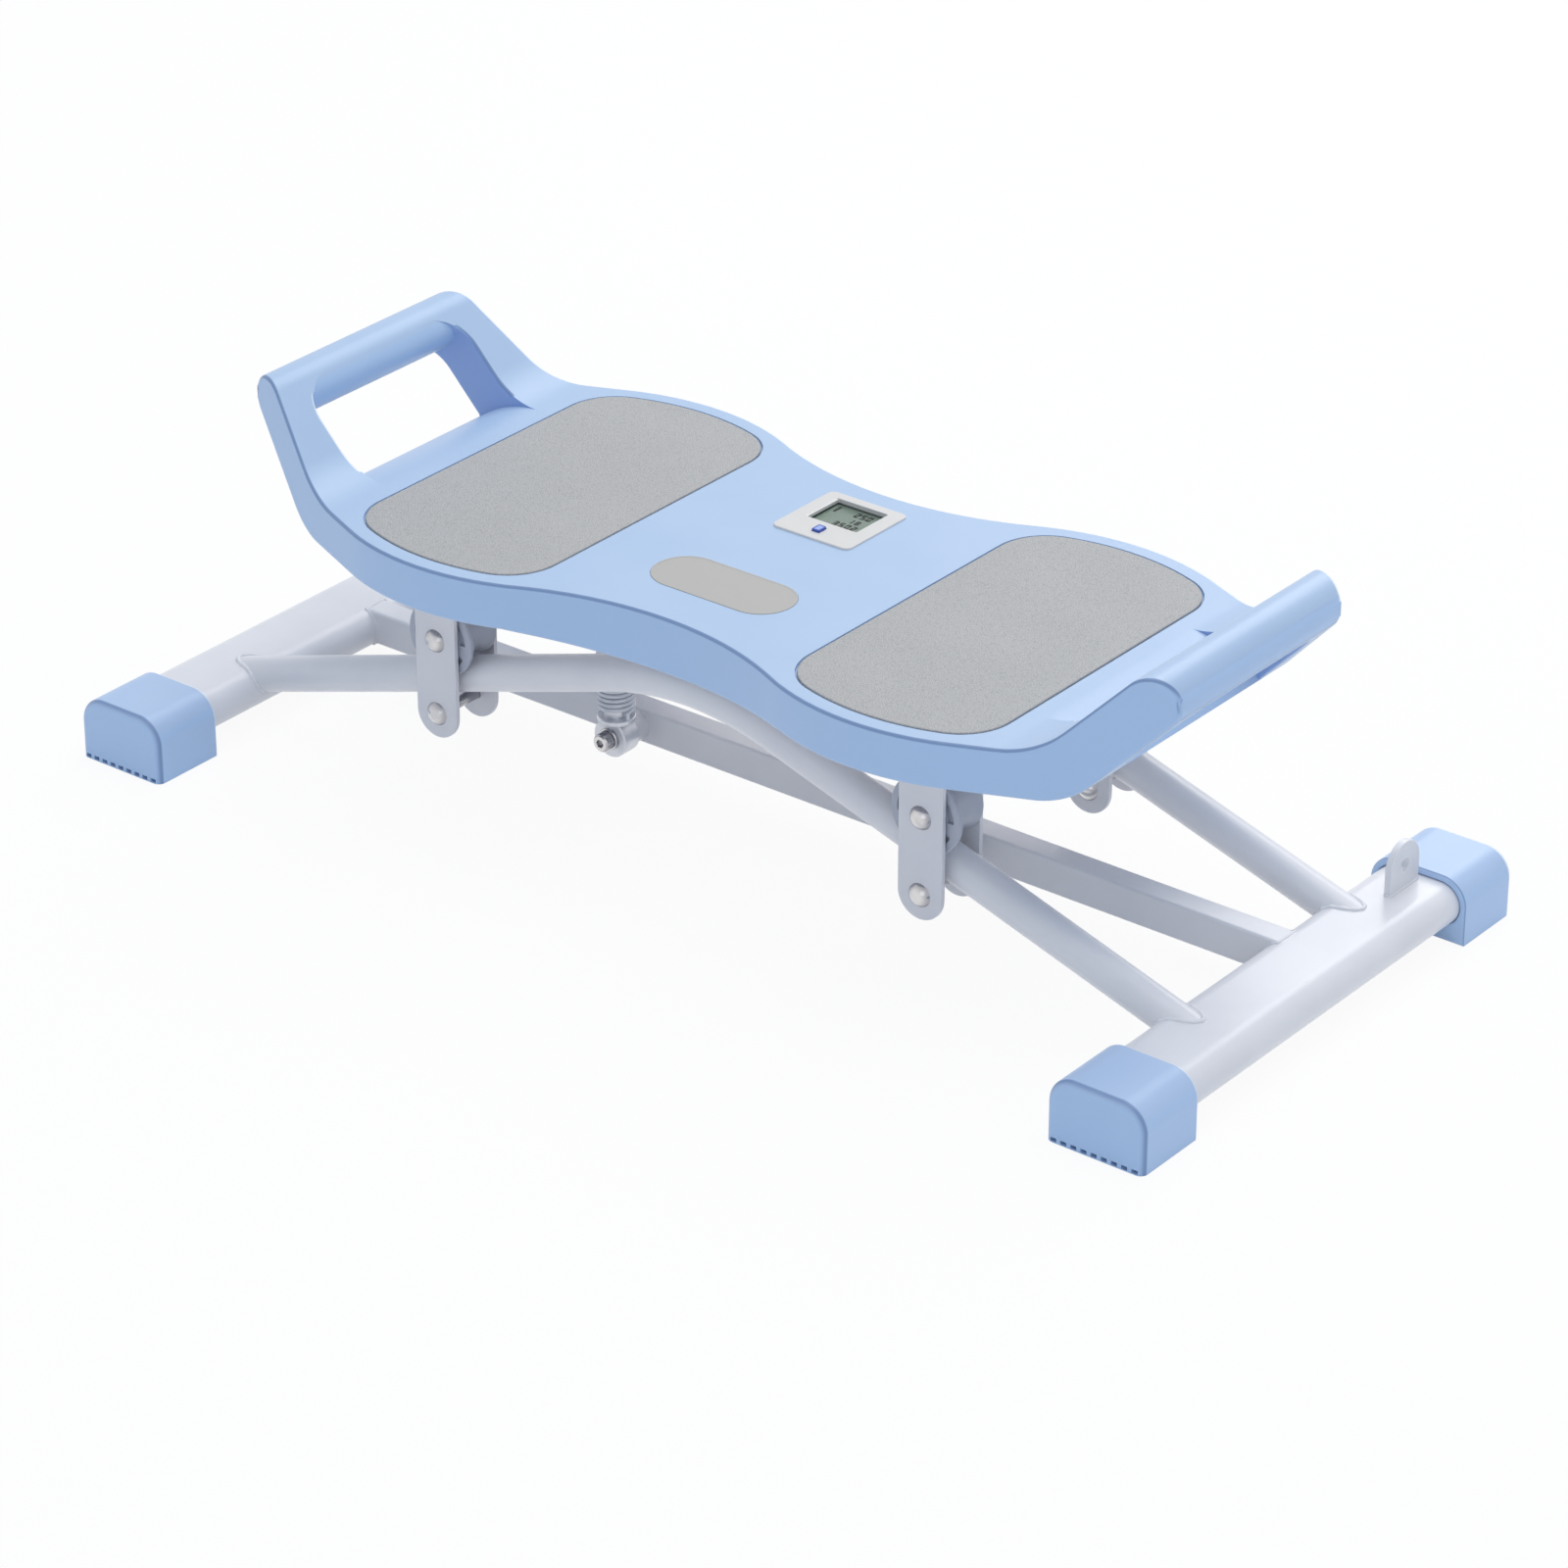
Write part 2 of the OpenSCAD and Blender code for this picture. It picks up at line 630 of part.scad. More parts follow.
// An eye with its collar and the plug that the curls sit on, drawn with the plug upwards
module plugged_eye(r) {
    seat = r + collar_h;
    difference() {
        union() {
            rod_y(r, -eye_w / 2, eye_w / 2);
            translate([0, 0, seat - collar_t]) cylinder(r = plug_r, h = collar_t + plug_l);
            translate([0, 0, seat - collar_t]) cylinder(r = collar_r, h = collar_t);
        }
        rod_y(bolt_r + bore_fit, -eye_w, eye_w);
    }
}

module spring_eye(side) {
    color("silver") translate([side * spring_x, 0, lower_eye_z]) plugged_eye(lower_eye_r);
}

module spring_top(side) {
    color("silver") translate([side * spring_x, 0, upper_eye_z]) mirror([0, 0, 1]) plugged_eye(upper_eye_r);
}

module spring(side) {
    color("gray") translate([side * spring_x, 0, 0]) polyhedron(wire_points, wire_faces, convexity = 10);
}

// Two cheeks and a web under the base plate, with the upper eye's pin through the cheeks
module clevis(side) {
    color("lightgray") translate([side * spring_x, 0, 0]) difference() {
        union() {
            for (s = [-1, 1]) {
                y0 = s < 0 ? -clevis_inner - clevis_t : clevis_inner;
                along_y(y0, y0 + clevis_t) {
                    translate([-clevis_r, upper_eye_z]) square([2 * clevis_r, base_z - upper_eye_z]);
                    translate([0, upper_eye_z]) circle(clevis_r);
                }
            }
            translate([-clevis_r, -clevis_inner, base_z - clevis_t])
                cube([2 * clevis_r, 2 * clevis_inner, clevis_t]);
        }
        translate([0, 0, upper_eye_z]) rod_y(bolt_r + bore_fit, -eye_w, eye_w);
    }
}

module spring_pins() {
    cheek = clevis_inner + clevis_t;
    color("silver") for (s = [-1, 1]) translate([s * spring_x, 0, upper_eye_z]) {
        rod_y(bolt_r, -cheek, cheek + pin_head_h);
        rod_y(pin_head_r, -cheek - pin_head_h, -cheek);
        rod_y(pin_head_r, cheek, cheek + pin_head_h);
    }
}

// A bolt with a domed head on its front side, through a bracket's two plates
module domed_bolt(front_y, back_y) {
    dome_r = (pow(bolt_head_d / 2, 2) + pow(bolt_head_h, 2)) / (2 * bolt_head_h);
    rod_y(bolt_r, front_y, back_y + nut_h + bolt_r / 2);
    translate([0, front_y, 0]) rotate([90, 0, 0]) rotate_extrude() intersection() {
        translate([0, bolt_head_h - dome_r]) circle(dome_r);
        square([bolt_head_d / 2, bolt_head_h]);
    }
}

module hex_nut(y, flats, h, bore_r) {
    translate([0, y, 0]) rotate([-90, 0, 0]) difference() {
        cylinder(r = flats / 2 / cos(30), h = h, $fn = 6);
        translate([0, 0, -cut]) cylinder(r = bore_r + bore_fit, h = h + 2 * cut);
    }
}

function front_face(end) = end < 0 ? -bracket_outer_y : bracket_inner_y;

function back_face(end) = end < 0 ? -bracket_inner_y : bracket_outer_y;

function axle_height(side) = axle_z + (side > 0 ? right_axle_rise : 0);

function keeper_height(side) = axle_z - keeper_drop;

module bracket_plate(side, y0) {
    along_y(y0, y0 + bracket_t) difference() {
        union() {
            translate([-bracket_w / 2, keeper_height(side)])
                square([bracket_w, bracket_top - keeper_height(side)]);
            translate([0, keeper_height(side)]) circle(bracket_w / 2);
        }
        translate([0, keeper_height(side)]) circle(bolt_r + bore_fit);
        translate([0, axle_height(side)]) circle(bolt_r + bore_fit);
    }
}

module bracket(side, end) {
    color("gainsboro") translate([side * bracket_x, 0, 0]) {
        bracket_plate(side, front_face(end));
        bracket_plate(side, back_face(end) - bracket_t);
        difference() {
            translate([-bracket_w / 2, front_face(end) + bracket_t, bracket_top - bracket_t])
                cube([bracket_w, plate_outer - plate_inner, bracket_t]);
            bracket_bolt_holes(end, bracket_top - bracket_t);
        }
    }
}

function bracket_mid(end) = (front_face(end) + back_face(end)) / 2;

module bracket_bolt_holes(end, z) {
    for (s = [-1, 1]) translate([0, bracket_mid(end) + s * bracket_bolt_step, z - cut])
        cylinder(r = bracket_bolt_r + bore_fit, h = bracket_t + base_t + 2 * cut, $fn = 32);
}

module bracket_bolts() {
    z = bracket_top - bracket_t;
    color("silver") for (side = [-1, 1]) for (end = [-1, 1]) for (s = [-1, 1])
        translate([side * bracket_x, bracket_mid(end) + s * bracket_bolt_step, z]) {
            translate([0, 0, -bracket_bolt_head_h])
                cylinder(r = bracket_bolt_flats / 2 / cos(30), h = bracket_bolt_head_h, $fn = 6);
            cylinder(r = bracket_bolt_r, h = bracket_t + base_t + 2 * bracket_bolt_r, $fn = 32);
        }
}

module bracket_nuts() {
    color("silver") for (side = [-1, 1]) for (end = [-1, 1]) for (s = [-1, 1])
        translate([side * bracket_x, bracket_mid(end) + s * bracket_bolt_step, base_top])
            rotate([90, 0, 0]) hex_nut(0, bracket_bolt_flats, bracket_bolt_head_h, bracket_bolt_r);
}

module axle_bolts(side) {
    color("silver") for (end = [-1, 1]) translate([side * bracket_x, 0, axle_height(side)])
        domed_bolt(front_face(end), back_face(end));
}

module axle_nuts(side) {
    color("silver") for (end = [-1, 1]) translate([side * bracket_x, 0, axle_height(side)])
        hex_nut(back_face(end), nut_flats, nut_h, bolt_r);
}

module keeper_bolts() {
    color("silver") for (side = [-1, 1]) for (end = [-1, 1])
        translate([side * bracket_x, 0, keeper_height(side)]) domed_bolt(front_face(end), back_face(end));
}

module keeper_nuts() {
    color("silver") for (side = [-1, 1]) for (end = [-1, 1])
        translate([side * bracket_x, 0, keeper_height(side)])
            hex_nut(back_face(end), nut_flats, nut_h, bolt_r);
}

module axle_sleeves(side) {
    color("dimgray") for (end = [-1, 1]) translate([side * bracket_x, 0, axle_height(side)]) difference() {
        rod_y(sleeve_r, front_face(end) + bracket_t + seat_gap, back_face(end) - bracket_t - seat_gap);
        rod_y(bolt_r + bore_fit, front_face(end), back_face(end));
    }
}

// A roller about the Y axis for the rear rail: barrel with a hollow over the rail, and a flange outside
module roller_solid() {
    difference() {
        union() {
            difference() {
                rod_y(pocket_r + pocket_w, barrel_inner_y, barrel_outer_y);
                translate([0, rail_y, 0]) rotate([90, 0, 0]) rotate_extrude(convexity = 4)
                    translate([roller_r + roller_hollow_r, 0]) circle(roller_hollow_r);
            }
            rod_y(flange_r, barrel_outer_y, flange_y);
        }
        rod_y(sleeve_r + bore_fit, barrel_inner_y - cut, flange_y + cut);
        for (i = [0:pocket_count - 1]) translate([0, flange_y + cut, 0]) rotate([90, 0, 0])
            rotate([0, 0, 360 * i / pocket_count]) rotate_extrude(angle = pocket_angle)
                translate([pocket_r, 0]) square([pocket_w, pocket_d + cut]);
    }
}

module roller(side, end) {
    color("darkgray") translate([side * bracket_x, 0, axle_height(side)])
        mirror([0, end < 0 ? 1 : 0, 0]) roller_solid();
}

// The deck seen from above, drawn in by i: waist, crest, straight taper and round corner
function deck_quarter(i) = let (r = crest_r - i, tip_x = deck_end - i - end_corner_r,
        touch = [crest_x + r * sin(taper_angle), crest_c + r * cos(taper_angle)],
        tip_y = touch[1] - (tip_x - touch[0]) * tan(taper_angle) - end_corner_r / cos(taper_angle))
    concat(arc([tip_x, tip_y], end_corner_r, 0, 90 - taper_angle, arc_steps / 2),
        arc([crest_x, crest_c], r, 90 - taper_angle, 90 + waist_a, 2 * arc_steps),
        [for (k = [arc_steps - 1:-1:0]) let (a = waist_a * k / arc_steps)
            [(waist_r + i) * sin(a), waist_c - (waist_r + i) * cos(a)]]);

// Half of the outline: the middle point that both quarters have is left out of the second
function deck_half(i) = let (q = deck_quarter(i))
    concat(q, [for (k = [len(q) - 2:-1:0]) [-q[k][0], q[k][1]]]);

module deck_plan(i) {
    polygon(concat(deck_half(i), flipped(deck_half(i))));
}

// A hand opening seen square to its ramp: square at the rolled edge, rounded towards the grip
module opening_slot() {
    inner = opening_y - opening_r;
    polygon(concat([[0, -opening_y]], arc([opening_l - opening_r, -inner], opening_r, -90, 0),
        arc([opening_l - opening_r, inner], opening_r, 0, 90), [[0, opening_y]]));
}

// What a hand opening takes away: a slanted slot, less the rolled edge and the grip
module opening_tool() {
    difference() {
        translate([opening_x, 0, deck_top]) rotate([0, -ramp_slope, 0]) translate([0, 0, -far / 4])
            linear_extrude(far / 2) opening_slot();
        translate([roll_c[0], 0, roll_c[1]]) rod_y(roll_r, -far, far);
        translate([grip_x, 0, grip_z]) rod_y(grip_r + grip_swell, -far, far);
    }
}

module deck_hollow(i, z0, z1) {
    translate([0, 0, z0]) linear_extrude(z1 - z0) intersection() {
        deck_plan(i);
        square([2 * (hollow_half + deck_wall - i), far], center = true);
    }
}

module at_screws() {
    for (s = [-1, 1]) for (p = screw_places) translate([s * p[0], p[1], 0]) children();
}

module deck_shell() {
    boss_r = boss_d / 2;
    color("lightsteelblue") difference() {
        union() {
            difference() {
                intersection() {
                    along_y(-crest_y - cut, crest_y + cut) polygon(deck_side());
                    linear_extrude(far) deck_plan(0);
                }
                deck_hollow(deck_wall, 0, hollow_roof);
                for (s = [0, 1]) mirror([s, 0, 0]) opening_tool();
            }
            at_screws() translate([0, 0, base_top]) cylinder(r = boss_r, h = hollow_roof - base_top, $fn = 32);
        }
        at_screws() translate([0, 0, base_top - cut])
            cylinder(r = deck_screw_r + bore_fit, h = deck_screw_l + cut, $fn = 32);
        for (s = [0, 1]) mirror([s, 0, 0]) translate([0, 0, deck_top - pad_recess])
            linear_extrude(far) intersection() {
                polygon(pad_outline(pad_gap));
                square([2 * top_fillet_x, far], center = true);
            }
        translate([0, -badge_y, deck_top - badge_recess])
            linear_extrude(badge_recess + cut) badge_shape(seat_gap);
        translate([0, bezel_y, hollow_roof - cut]) linear_extrude(deck_skin + 2 * cut)
            rounded_box(case_w + 2 * seat_gap, case_l + 2 * seat_gap, bezel_r);
    }
}

module badge_shape(grow) {
    reach = (badge_l - badge_w) / 2;
    r = badge_w / 2 + grow;
    translate([-reach, -r]) square([2 * reach, 2 * r]);
    for (s = [-1, 1]) translate([s * reach, 0]) circle(r);
}

module base_plate() {
    color("lightgray") difference() {
        deck_hollow(deck_wall + seat_gap, base_z, base_top);
        at_screws() translate([0, 0, base_z - cut])
            cylinder(r = deck_screw_r + bore_fit, h = base_t + 2 * cut, $fn = 32);
        for (side = [-1, 1]) for (end = [-1, 1]) translate([side * bracket_x, 0, 0])
            bracket_bolt_holes(end, base_z);
    }
}

module deck_screws() {
    color("silver") at_screws() translate([0, 0, base_z]) {
        translate([0, 0, -deck_screw_head_h]) cylinder(r = deck_screw_head_r, h = deck_screw_head_h, $fn = 32);
        cylinder(r = deck_screw_r, h = base_t + deck_screw_l - cut, $fn = 32);
    }
}

module foot_pad(side) {
    color("darkgray") mirror([side < 0 ? 1 : 0, 0, 0]) translate([0, 0, deck_top - pad_recess])
        linear_extrude(pad_t) polygon(pad_outline(0));
}

module badge_inlay() {
    color("tan") translate([0, -badge_y, deck_top - badge_recess]) linear_extrude(badge_t) badge_shape(0);
}

module counter_bezel() {
    color("linen") translate([0, bezel_y, 0]) difference() {
        union() {
            translate([0, 0, deck_top]) linear_extrude(bezel_rise) rounded_box(bezel_w, bezel_l, bezel_r);
            translate([0, 0, case_floor]) linear_extrude(case_depth + bezel_rise / 2)
                rounded_box(case_w, case_l, bezel_r);
        }
        translate([0, 0, case_floor - cut]) linear_extrude(bezel_under - case_floor + cut)
            rounded_box(case_w - 2 * case_wall, case_l - 2 * case_wall, bezel_r - case_wall);
        translate([-window_w / 2, window_y - bezel_y - window_l / 2, bezel_under - cut])
            cube([window_w, window_l, bezel_t + 2 * cut]);
        translate([button_x - button_w / 2 - button_gap, button_y - bezel_y - button_l / 2 - button_gap,
            bezel_under - cut]) cube([button_w + 2 * button_gap, button_l + 2 * button_gap, bezel_t + 2 * cut]);
    }
}

// The clear window lies against the underside of the bezel's face, and the display under it
module counter_window() {
    margin = 1.5;
    color("lightcyan") translate([-window_w / 2 - margin, window_y - window_l / 2 - margin, window_z])
        cube([window_w + 2 * margin, window_l + 2 * margin, window_t]);
}

module counter_display() {
    color("darkseagreen") translate([-window_w / 2, window_y - window_l / 2, display_z])
        cube([window_w, window_l, display_t]);
}

module counter_board() {
    w = case_w - 2 * case_wall - 2 * board_margin;
    l = case_l - 2 * case_wall - 2 * board_margin;
    color("darkgreen") translate([0, bezel_y, board_z]) linear_extrude(board_t)
        rounded_box(w, l, bezel_r - case_wall);
}

module counter_battery() {
    color("silver") translate([0, bezel_y, board_z - cell_t]) cylinder(r = cell_d / 2, h = cell_t);
}

// The back closes the case, and its four posts carry the board
module counter_back() {
    w = case_w - 2 * case_wall - 2 * seat_gap;
    l = case_l - 2 * case_wall - 2 * seat_gap;
    color("linen") translate([0, bezel_y, case_floor]) {
        linear_extrude(back_t) rounded_box(w, l, bezel_r - case_wall);
        for (sx = [-1, 1]) for (sy = [-1, 1])
            translate([sx * (w / 2 - post_d), sy * (l / 2 - post_d), 0])
                cylinder(r = post_d / 2, h = board_z - case_floor, $fn = 32);
    }
}

// The button shows over the bezel, with a lip under the bezel's face and its travel over the board
module counter_button() {
    lip_top = bezel_under - seat_gap;
    foot = board_z + board_t + button_travel + seat_gap;
    color("royalblue") translate([button_x, button_y, 0]) {
        translate([-button_w / 2, -button_l / 2, foot]) cube([button_w, button_l, bezel_top + button_rise - foot]);
        translate([-button_w / 2 - button_lip, -button_l / 2 - button_lip, lip_top - button_lip])
            cube([button_w + 2 * button_lip, button_l + 2 * button_lip, button_lip]);
    }
}

crossbar(-1);  // left_crossbar
crossbar(1);  // right_crossbar
rail(-1);  // front_rail
rail(1);  // rear_rail
centre_beam();
end_cap(-1, -1);  // front_left_cap
end_cap(1, -1);  // front_right_cap
end_cap(-1, 1);  // rear_left_cap
end_cap(1, 1);  // rear_right_cap
band_lug(-1);  // left_band_lug
band_lug(1);  // right_band_lug
spring_mount(-1);  // left_spring_mount
spring_mount(1);  // right_spring_mount
spring_bolts();
spring_washers();
spring_eye(-1);  // left_spring_eye
spring_eye(1);  // right_spring_eye
spring(-1);  // left_spring
spring(1);  // right_spring
spring_top(-1);  // left_spring_top
spring_top(1);  // right_spring_top
clevis(-1);  // left_clevis
clevis(1);  // right_clevis
spring_pins();
bracket(-1, -1);  // front_left_bracket
bracket(1, -1);  // front_right_bracket
bracket(-1, 1);  // rear_left_bracket
bracket(1, 1);  // rear_right_bracket
bracket_bolts();
bracket_nuts();
keeper_bolts();
keeper_nuts();
axle_bolts(-1);  // left_axle_bolts
axle_nuts(-1);  // left_axle_nuts
axle_sleeves(-1);  // left_axle_sleeves
axle_bolts(1);  // right_axle_bolts
axle_nuts(1);  // right_axle_nuts
axle_sleeves(1);  // right_axle_sleeves
roller(-1, -1);  // front_left_roller
roller(1, -1);  // front_right_roller
roller(-1, 1);  // rear_left_roller
roller(1, 1);  // rear_right_roller
deck_shell();
base_plate();
deck_screws();
foot_pad(-1);  // left_foot_pad
foot_pad(1);  // right_foot_pad
badge_inlay();
counter_bezel();
counter_window();
counter_display();
counter_board();
counter_battery();
counter_back();
counter_button();
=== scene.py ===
"""Side glide exerciser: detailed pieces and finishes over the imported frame.

Sizes are in millimetres, as in the part's source. Each mesh is brought to metres when it is done.
"""

import json
import logging
import math
from dataclasses import dataclass, field
from enum import Enum
from typing import Callable, Dict, List, Optional, Sequence, Tuple, Union

import bmesh
import bpy
from mathutils import Matrix, Vector

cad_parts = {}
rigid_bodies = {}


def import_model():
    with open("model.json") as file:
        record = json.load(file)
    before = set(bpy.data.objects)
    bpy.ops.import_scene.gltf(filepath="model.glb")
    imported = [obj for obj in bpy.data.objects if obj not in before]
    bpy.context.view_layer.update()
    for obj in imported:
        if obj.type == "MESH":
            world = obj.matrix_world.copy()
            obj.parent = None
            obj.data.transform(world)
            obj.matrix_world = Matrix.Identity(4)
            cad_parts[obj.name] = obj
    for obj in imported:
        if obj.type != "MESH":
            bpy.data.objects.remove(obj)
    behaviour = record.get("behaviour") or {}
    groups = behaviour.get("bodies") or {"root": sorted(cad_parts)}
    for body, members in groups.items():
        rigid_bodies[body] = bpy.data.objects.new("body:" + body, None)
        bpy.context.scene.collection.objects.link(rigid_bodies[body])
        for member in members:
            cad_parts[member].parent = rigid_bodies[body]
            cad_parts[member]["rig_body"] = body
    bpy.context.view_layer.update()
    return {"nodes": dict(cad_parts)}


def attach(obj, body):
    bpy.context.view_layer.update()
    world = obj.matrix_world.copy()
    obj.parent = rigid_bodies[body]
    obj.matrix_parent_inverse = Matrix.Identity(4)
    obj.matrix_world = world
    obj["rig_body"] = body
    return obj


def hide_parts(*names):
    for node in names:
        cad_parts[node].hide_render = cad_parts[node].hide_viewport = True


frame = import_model()

LOG = logging.getLogger("glider")
MM = 0.001
WHITE = (1, 1, 1, 1)
Point = Tuple[float, float]
Rgb = Tuple[float, float, float]
Rgba = Tuple[float, float, float, float]
Values = Dict[Union[str, int], object]
EdgeTest = Callable[[bmesh.types.BMEdge], bool]


class Axis(Enum):
    """The direction that a form is drawn along."""

    X = 0
    Y = 1
    Z = 2


class Cut(Enum):
    """What one solid does to another."""

    TAKE = "DIFFERENCE"
    KEEP = "INTERSECT"
    JOIN = "UNION"


class Place(Enum):
    """One of two mirrored places, with its sign along the axis."""

    @property
    def tag(self) -> str:
        """The place as it is written in names."""
        return self.name.lower()


class Side(Place):
    """Left and right, seen from the front."""

    LEFT = -1
    RIGHT = 1


class End(Place):
    """Front and rear."""

    FRONT = -1
    REAR = 1


CORNERS = [(side, end) for side in Side for end in End]


def beside(side: Side, x: float, z: float = 0.0) -> Matrix:
    """A move to a distance left or right of the middle, and to a height."""
    return Matrix.Translation((side.value * x, 0, z))


def beyond(axis: Axis, limit: float) -> EdgeTest:
    """A test for edges that lie wholly past a limit along an axis."""
    return lambda edge: all(v.co[axis.value] > limit for v in edge.verts)


def only(geom: Sequence[object], *kinds: type) -> List[object]:
    """Picks elements of some kinds out of what a bmesh operator gives back."""
    return [g for g in geom if isinstance(g, kinds)]


def lift(axis: Axis, a: float, b: float, along: float) -> Vector:
    """Puts a flat point into space.

    Args:
        axis: Direction that the flat drawing is seen along.
        a: First flat coordinate (Y where the axis is X, otherwise X).
        b: Second flat coordinate (Y where the axis is Z, otherwise Z).
        along: Distance along the axis.

    Returns:
        The point in space.
    """
    if axis is Axis.X:
        return Vector((along, a, b))
    if axis is Axis.Y:
        return Vector((a, along, b))
    return Vector((a, b, along))


def arc(centre: Point, radius: float, start: float, stop: float, steps: int) -> List[Point]:
    """Points on a circle's arc.

    Args:
        centre: Middle of the circle.
        radius: Its radius.
        start: Angle of the first point, in degrees.
        stop: Angle of the last point, in degrees.
        steps: Number of pieces the arc is divided into.

    Returns:
        The points in order.
    """
    angles = [math.radians(start + (stop - start) * i / steps) for i in range(steps + 1)]
    return [(centre[0] + radius * math.cos(a), centre[1] + radius * math.sin(a)) for a in angles]


def ring(centre: Point, radius: float, sides: int, start: float = 0.0) -> List[Point]:
    """Corners of a regular polygon, the first one at an angle in degrees."""
    return arc(centre, radius, start, start + 360 - 360 / sides, sides - 1)


def rounded_box(width: float, length: float, radius: float, centre: Point,
                steps: int = 8) -> List[Point]:
    """Outline of a rectangle with round corners.

    Args:
        width: First size.
        length: Second size.
        radius: Corner radius.
        centre: Middle of the rectangle.
        steps: Pieces in each corner.

    Returns:
        The outline, anticlockwise.
    """
    points: List[Point] = []
    for k, (sx, sy) in enumerate(((1, 1), (-1, 1), (-1, -1), (1, -1))):
        corner = (centre[0] + sx * (width / 2 - radius), centre[1] + sy * (length / 2 - radius))
        points += arc(corner, radius, 90 * k, 90 * k + 90, steps)
    return points


class Form:
    """A closed solid in millimetres, shaped with bmesh operators."""

    def __init__(self) -> None:
        """Starts with nothing in it."""
        self.bm = bmesh.new()

    @classmethod
    def slab(cls, outline: Sequence[Point], axis: Axis, low: float, high: float) -> "Form":
        """Extrudes a flat outline.

        Args:
            outline: Flat points in order.
            axis: Direction of the extrusion.
            low: Where it begins along the axis.
            high: Where it ends along the axis.

        Returns:
            The closed solid.
        """
        form = cls()
        bm = form.bm
        base = bm.faces.new([bm.verts.new(lift(axis, a, b, low)) for a, b in outline])
        grown = bmesh.ops.extrude_face_region(bm, geom=[base])["geom"]
        raised = only(grown, bmesh.types.BMVert)
        bmesh.ops.translate(bm, verts=raised, vec=lift(axis, 0, 0, high - low))
        return form.tidied(0.001)

    @classmethod
    def tile(cls, size: Point, radius: float, centre: Point, low: float, high: float,
             steps: int = 8) -> "Form":
        """An upright slab with round corners; its size is its width and length.

        Args:
            size: Width and length.
            radius: Corner radius.
            centre: Middle, seen from above.
            low: Height of its underside.
            high: Height of its upper side.
            steps: Pieces in each corner.

        Returns:
            The closed solid.
        """
        return cls.slab(rounded_box(*size, radius, centre, steps), Axis.Z, low, high)

    @classmethod
    def lathe(cls, profile: Sequence[Point], axis: Axis, steps: int = 48) -> "Form":
        """Spins a profile about an axis through the origin.

        Args:
            profile: Points as (radius, distance along the axis), from one end to the other.
            axis: Direction of the axis.
            steps: Pieces in the full turn.

        Returns:
            The closed solid; a profile that starts off the axis is closed into a ring.
        """
        form = cls()
        bm = form.bm
        verts = [bm.verts.new(lift(axis, r, 0, h)) for r, h in profile]
        edges = [bm.edges.new(pair) for pair in zip(verts, verts[1:])]
        if profile[0][0] > 0.001:
            edges.append(bm.edges.new((verts[-1], verts[0])))
        bmesh.ops.spin(
            bm, geom=verts + edges, cent=(0, 0, 0), axis=lift(axis, 0, 0, 1), dvec=(0, 0, 0),
            angle=math.tau, steps=steps, use_merge=True, use_duplicate=False,
        )
        return form.tidied(0.0005)

    @classmethod
    def block(cls, low: Sequence[float], high: Sequence[float]) -> "Form":
        """A box between two corners.

        Args:
            low: Its least corner.
            high: Its greatest corner.

        Returns:
            The closed solid.
        """
        start, stop = Vector(low), Vector(high)
        form = cls()
        bmesh.ops.create_cube(form.bm, size=1.0)
        bmesh.ops.scale(form.bm, verts=form.bm.verts, vec=stop - start)
        bmesh.ops.translate(form.bm, verts=form.bm.verts, vec=(stop + start) / 2)
        return form

    def tidied(self, distance: float) -> "Form":
        """Joins doubles, drops collapsed faces and turns the faces outwards.

        Args:
            distance: Points nearer to each other than this are joined.

        Returns:
            This form, changed.
        """
        bmesh.ops.remove_doubles(self.bm, verts=self.bm.verts, dist=distance)
        bmesh.ops.dissolve_degenerate(self.bm, edges=self.bm.edges, dist=distance / 10)
        bmesh.ops.recalc_face_normals(self.bm, faces=self.bm.faces)
        return self

    def moved(self, place: Matrix) -> "Form":
        """Moves or turns the form, and keeps its faces outwards where the matrix mirrors it.

        Args:
            place: The move, turn or mirroring.

        Returns:
            This form, changed.
        """
        bmesh.ops.transform(self.bm, matrix=place, verts=self.bm.verts)
        if place.determinant() < 0:
            bmesh.ops.reverse_faces(self.bm, faces=self.bm.faces)
        return self

    def mirrored(self, x: bool = False, y: bool = False) -> "Form":
        """A copy turned over to the other side, the other end, or both.

        Args:
            x: Whether left and right are swapped.
            y: Whether front and rear are swapped.

        Returns:
            The copy.
        """
        twin = Form()
        twin.bm.free()
        twin.bm = self.bm.copy()
        return twin.moved(Matrix.Diagonal((-1 if x else 1, -1 if y else 1, 1, 1)))

    def take_in(self, other: "Form") -> None:
        """Adds a separate solid to this form.

        Args:
            other: The solid that is added.
        """
        mesh = bpy.data.meshes.new("part")
        other.bm.to_mesh(mesh)
        self.bm.from_mesh(mesh)
        bpy.data.meshes.remove(mesh)

    def _work_object(self) -> bpy.types.Object:
        """A passing object with this form's mesh.

        Returns:
            The object, which the caller removes.
        """
        mesh = bpy.data.meshes.new("work")
        self.bm.to_mesh(mesh)
        obj = bpy.data.objects.new("work", mesh)
        bpy.context.scene.collection.objects.link(obj)
        return obj

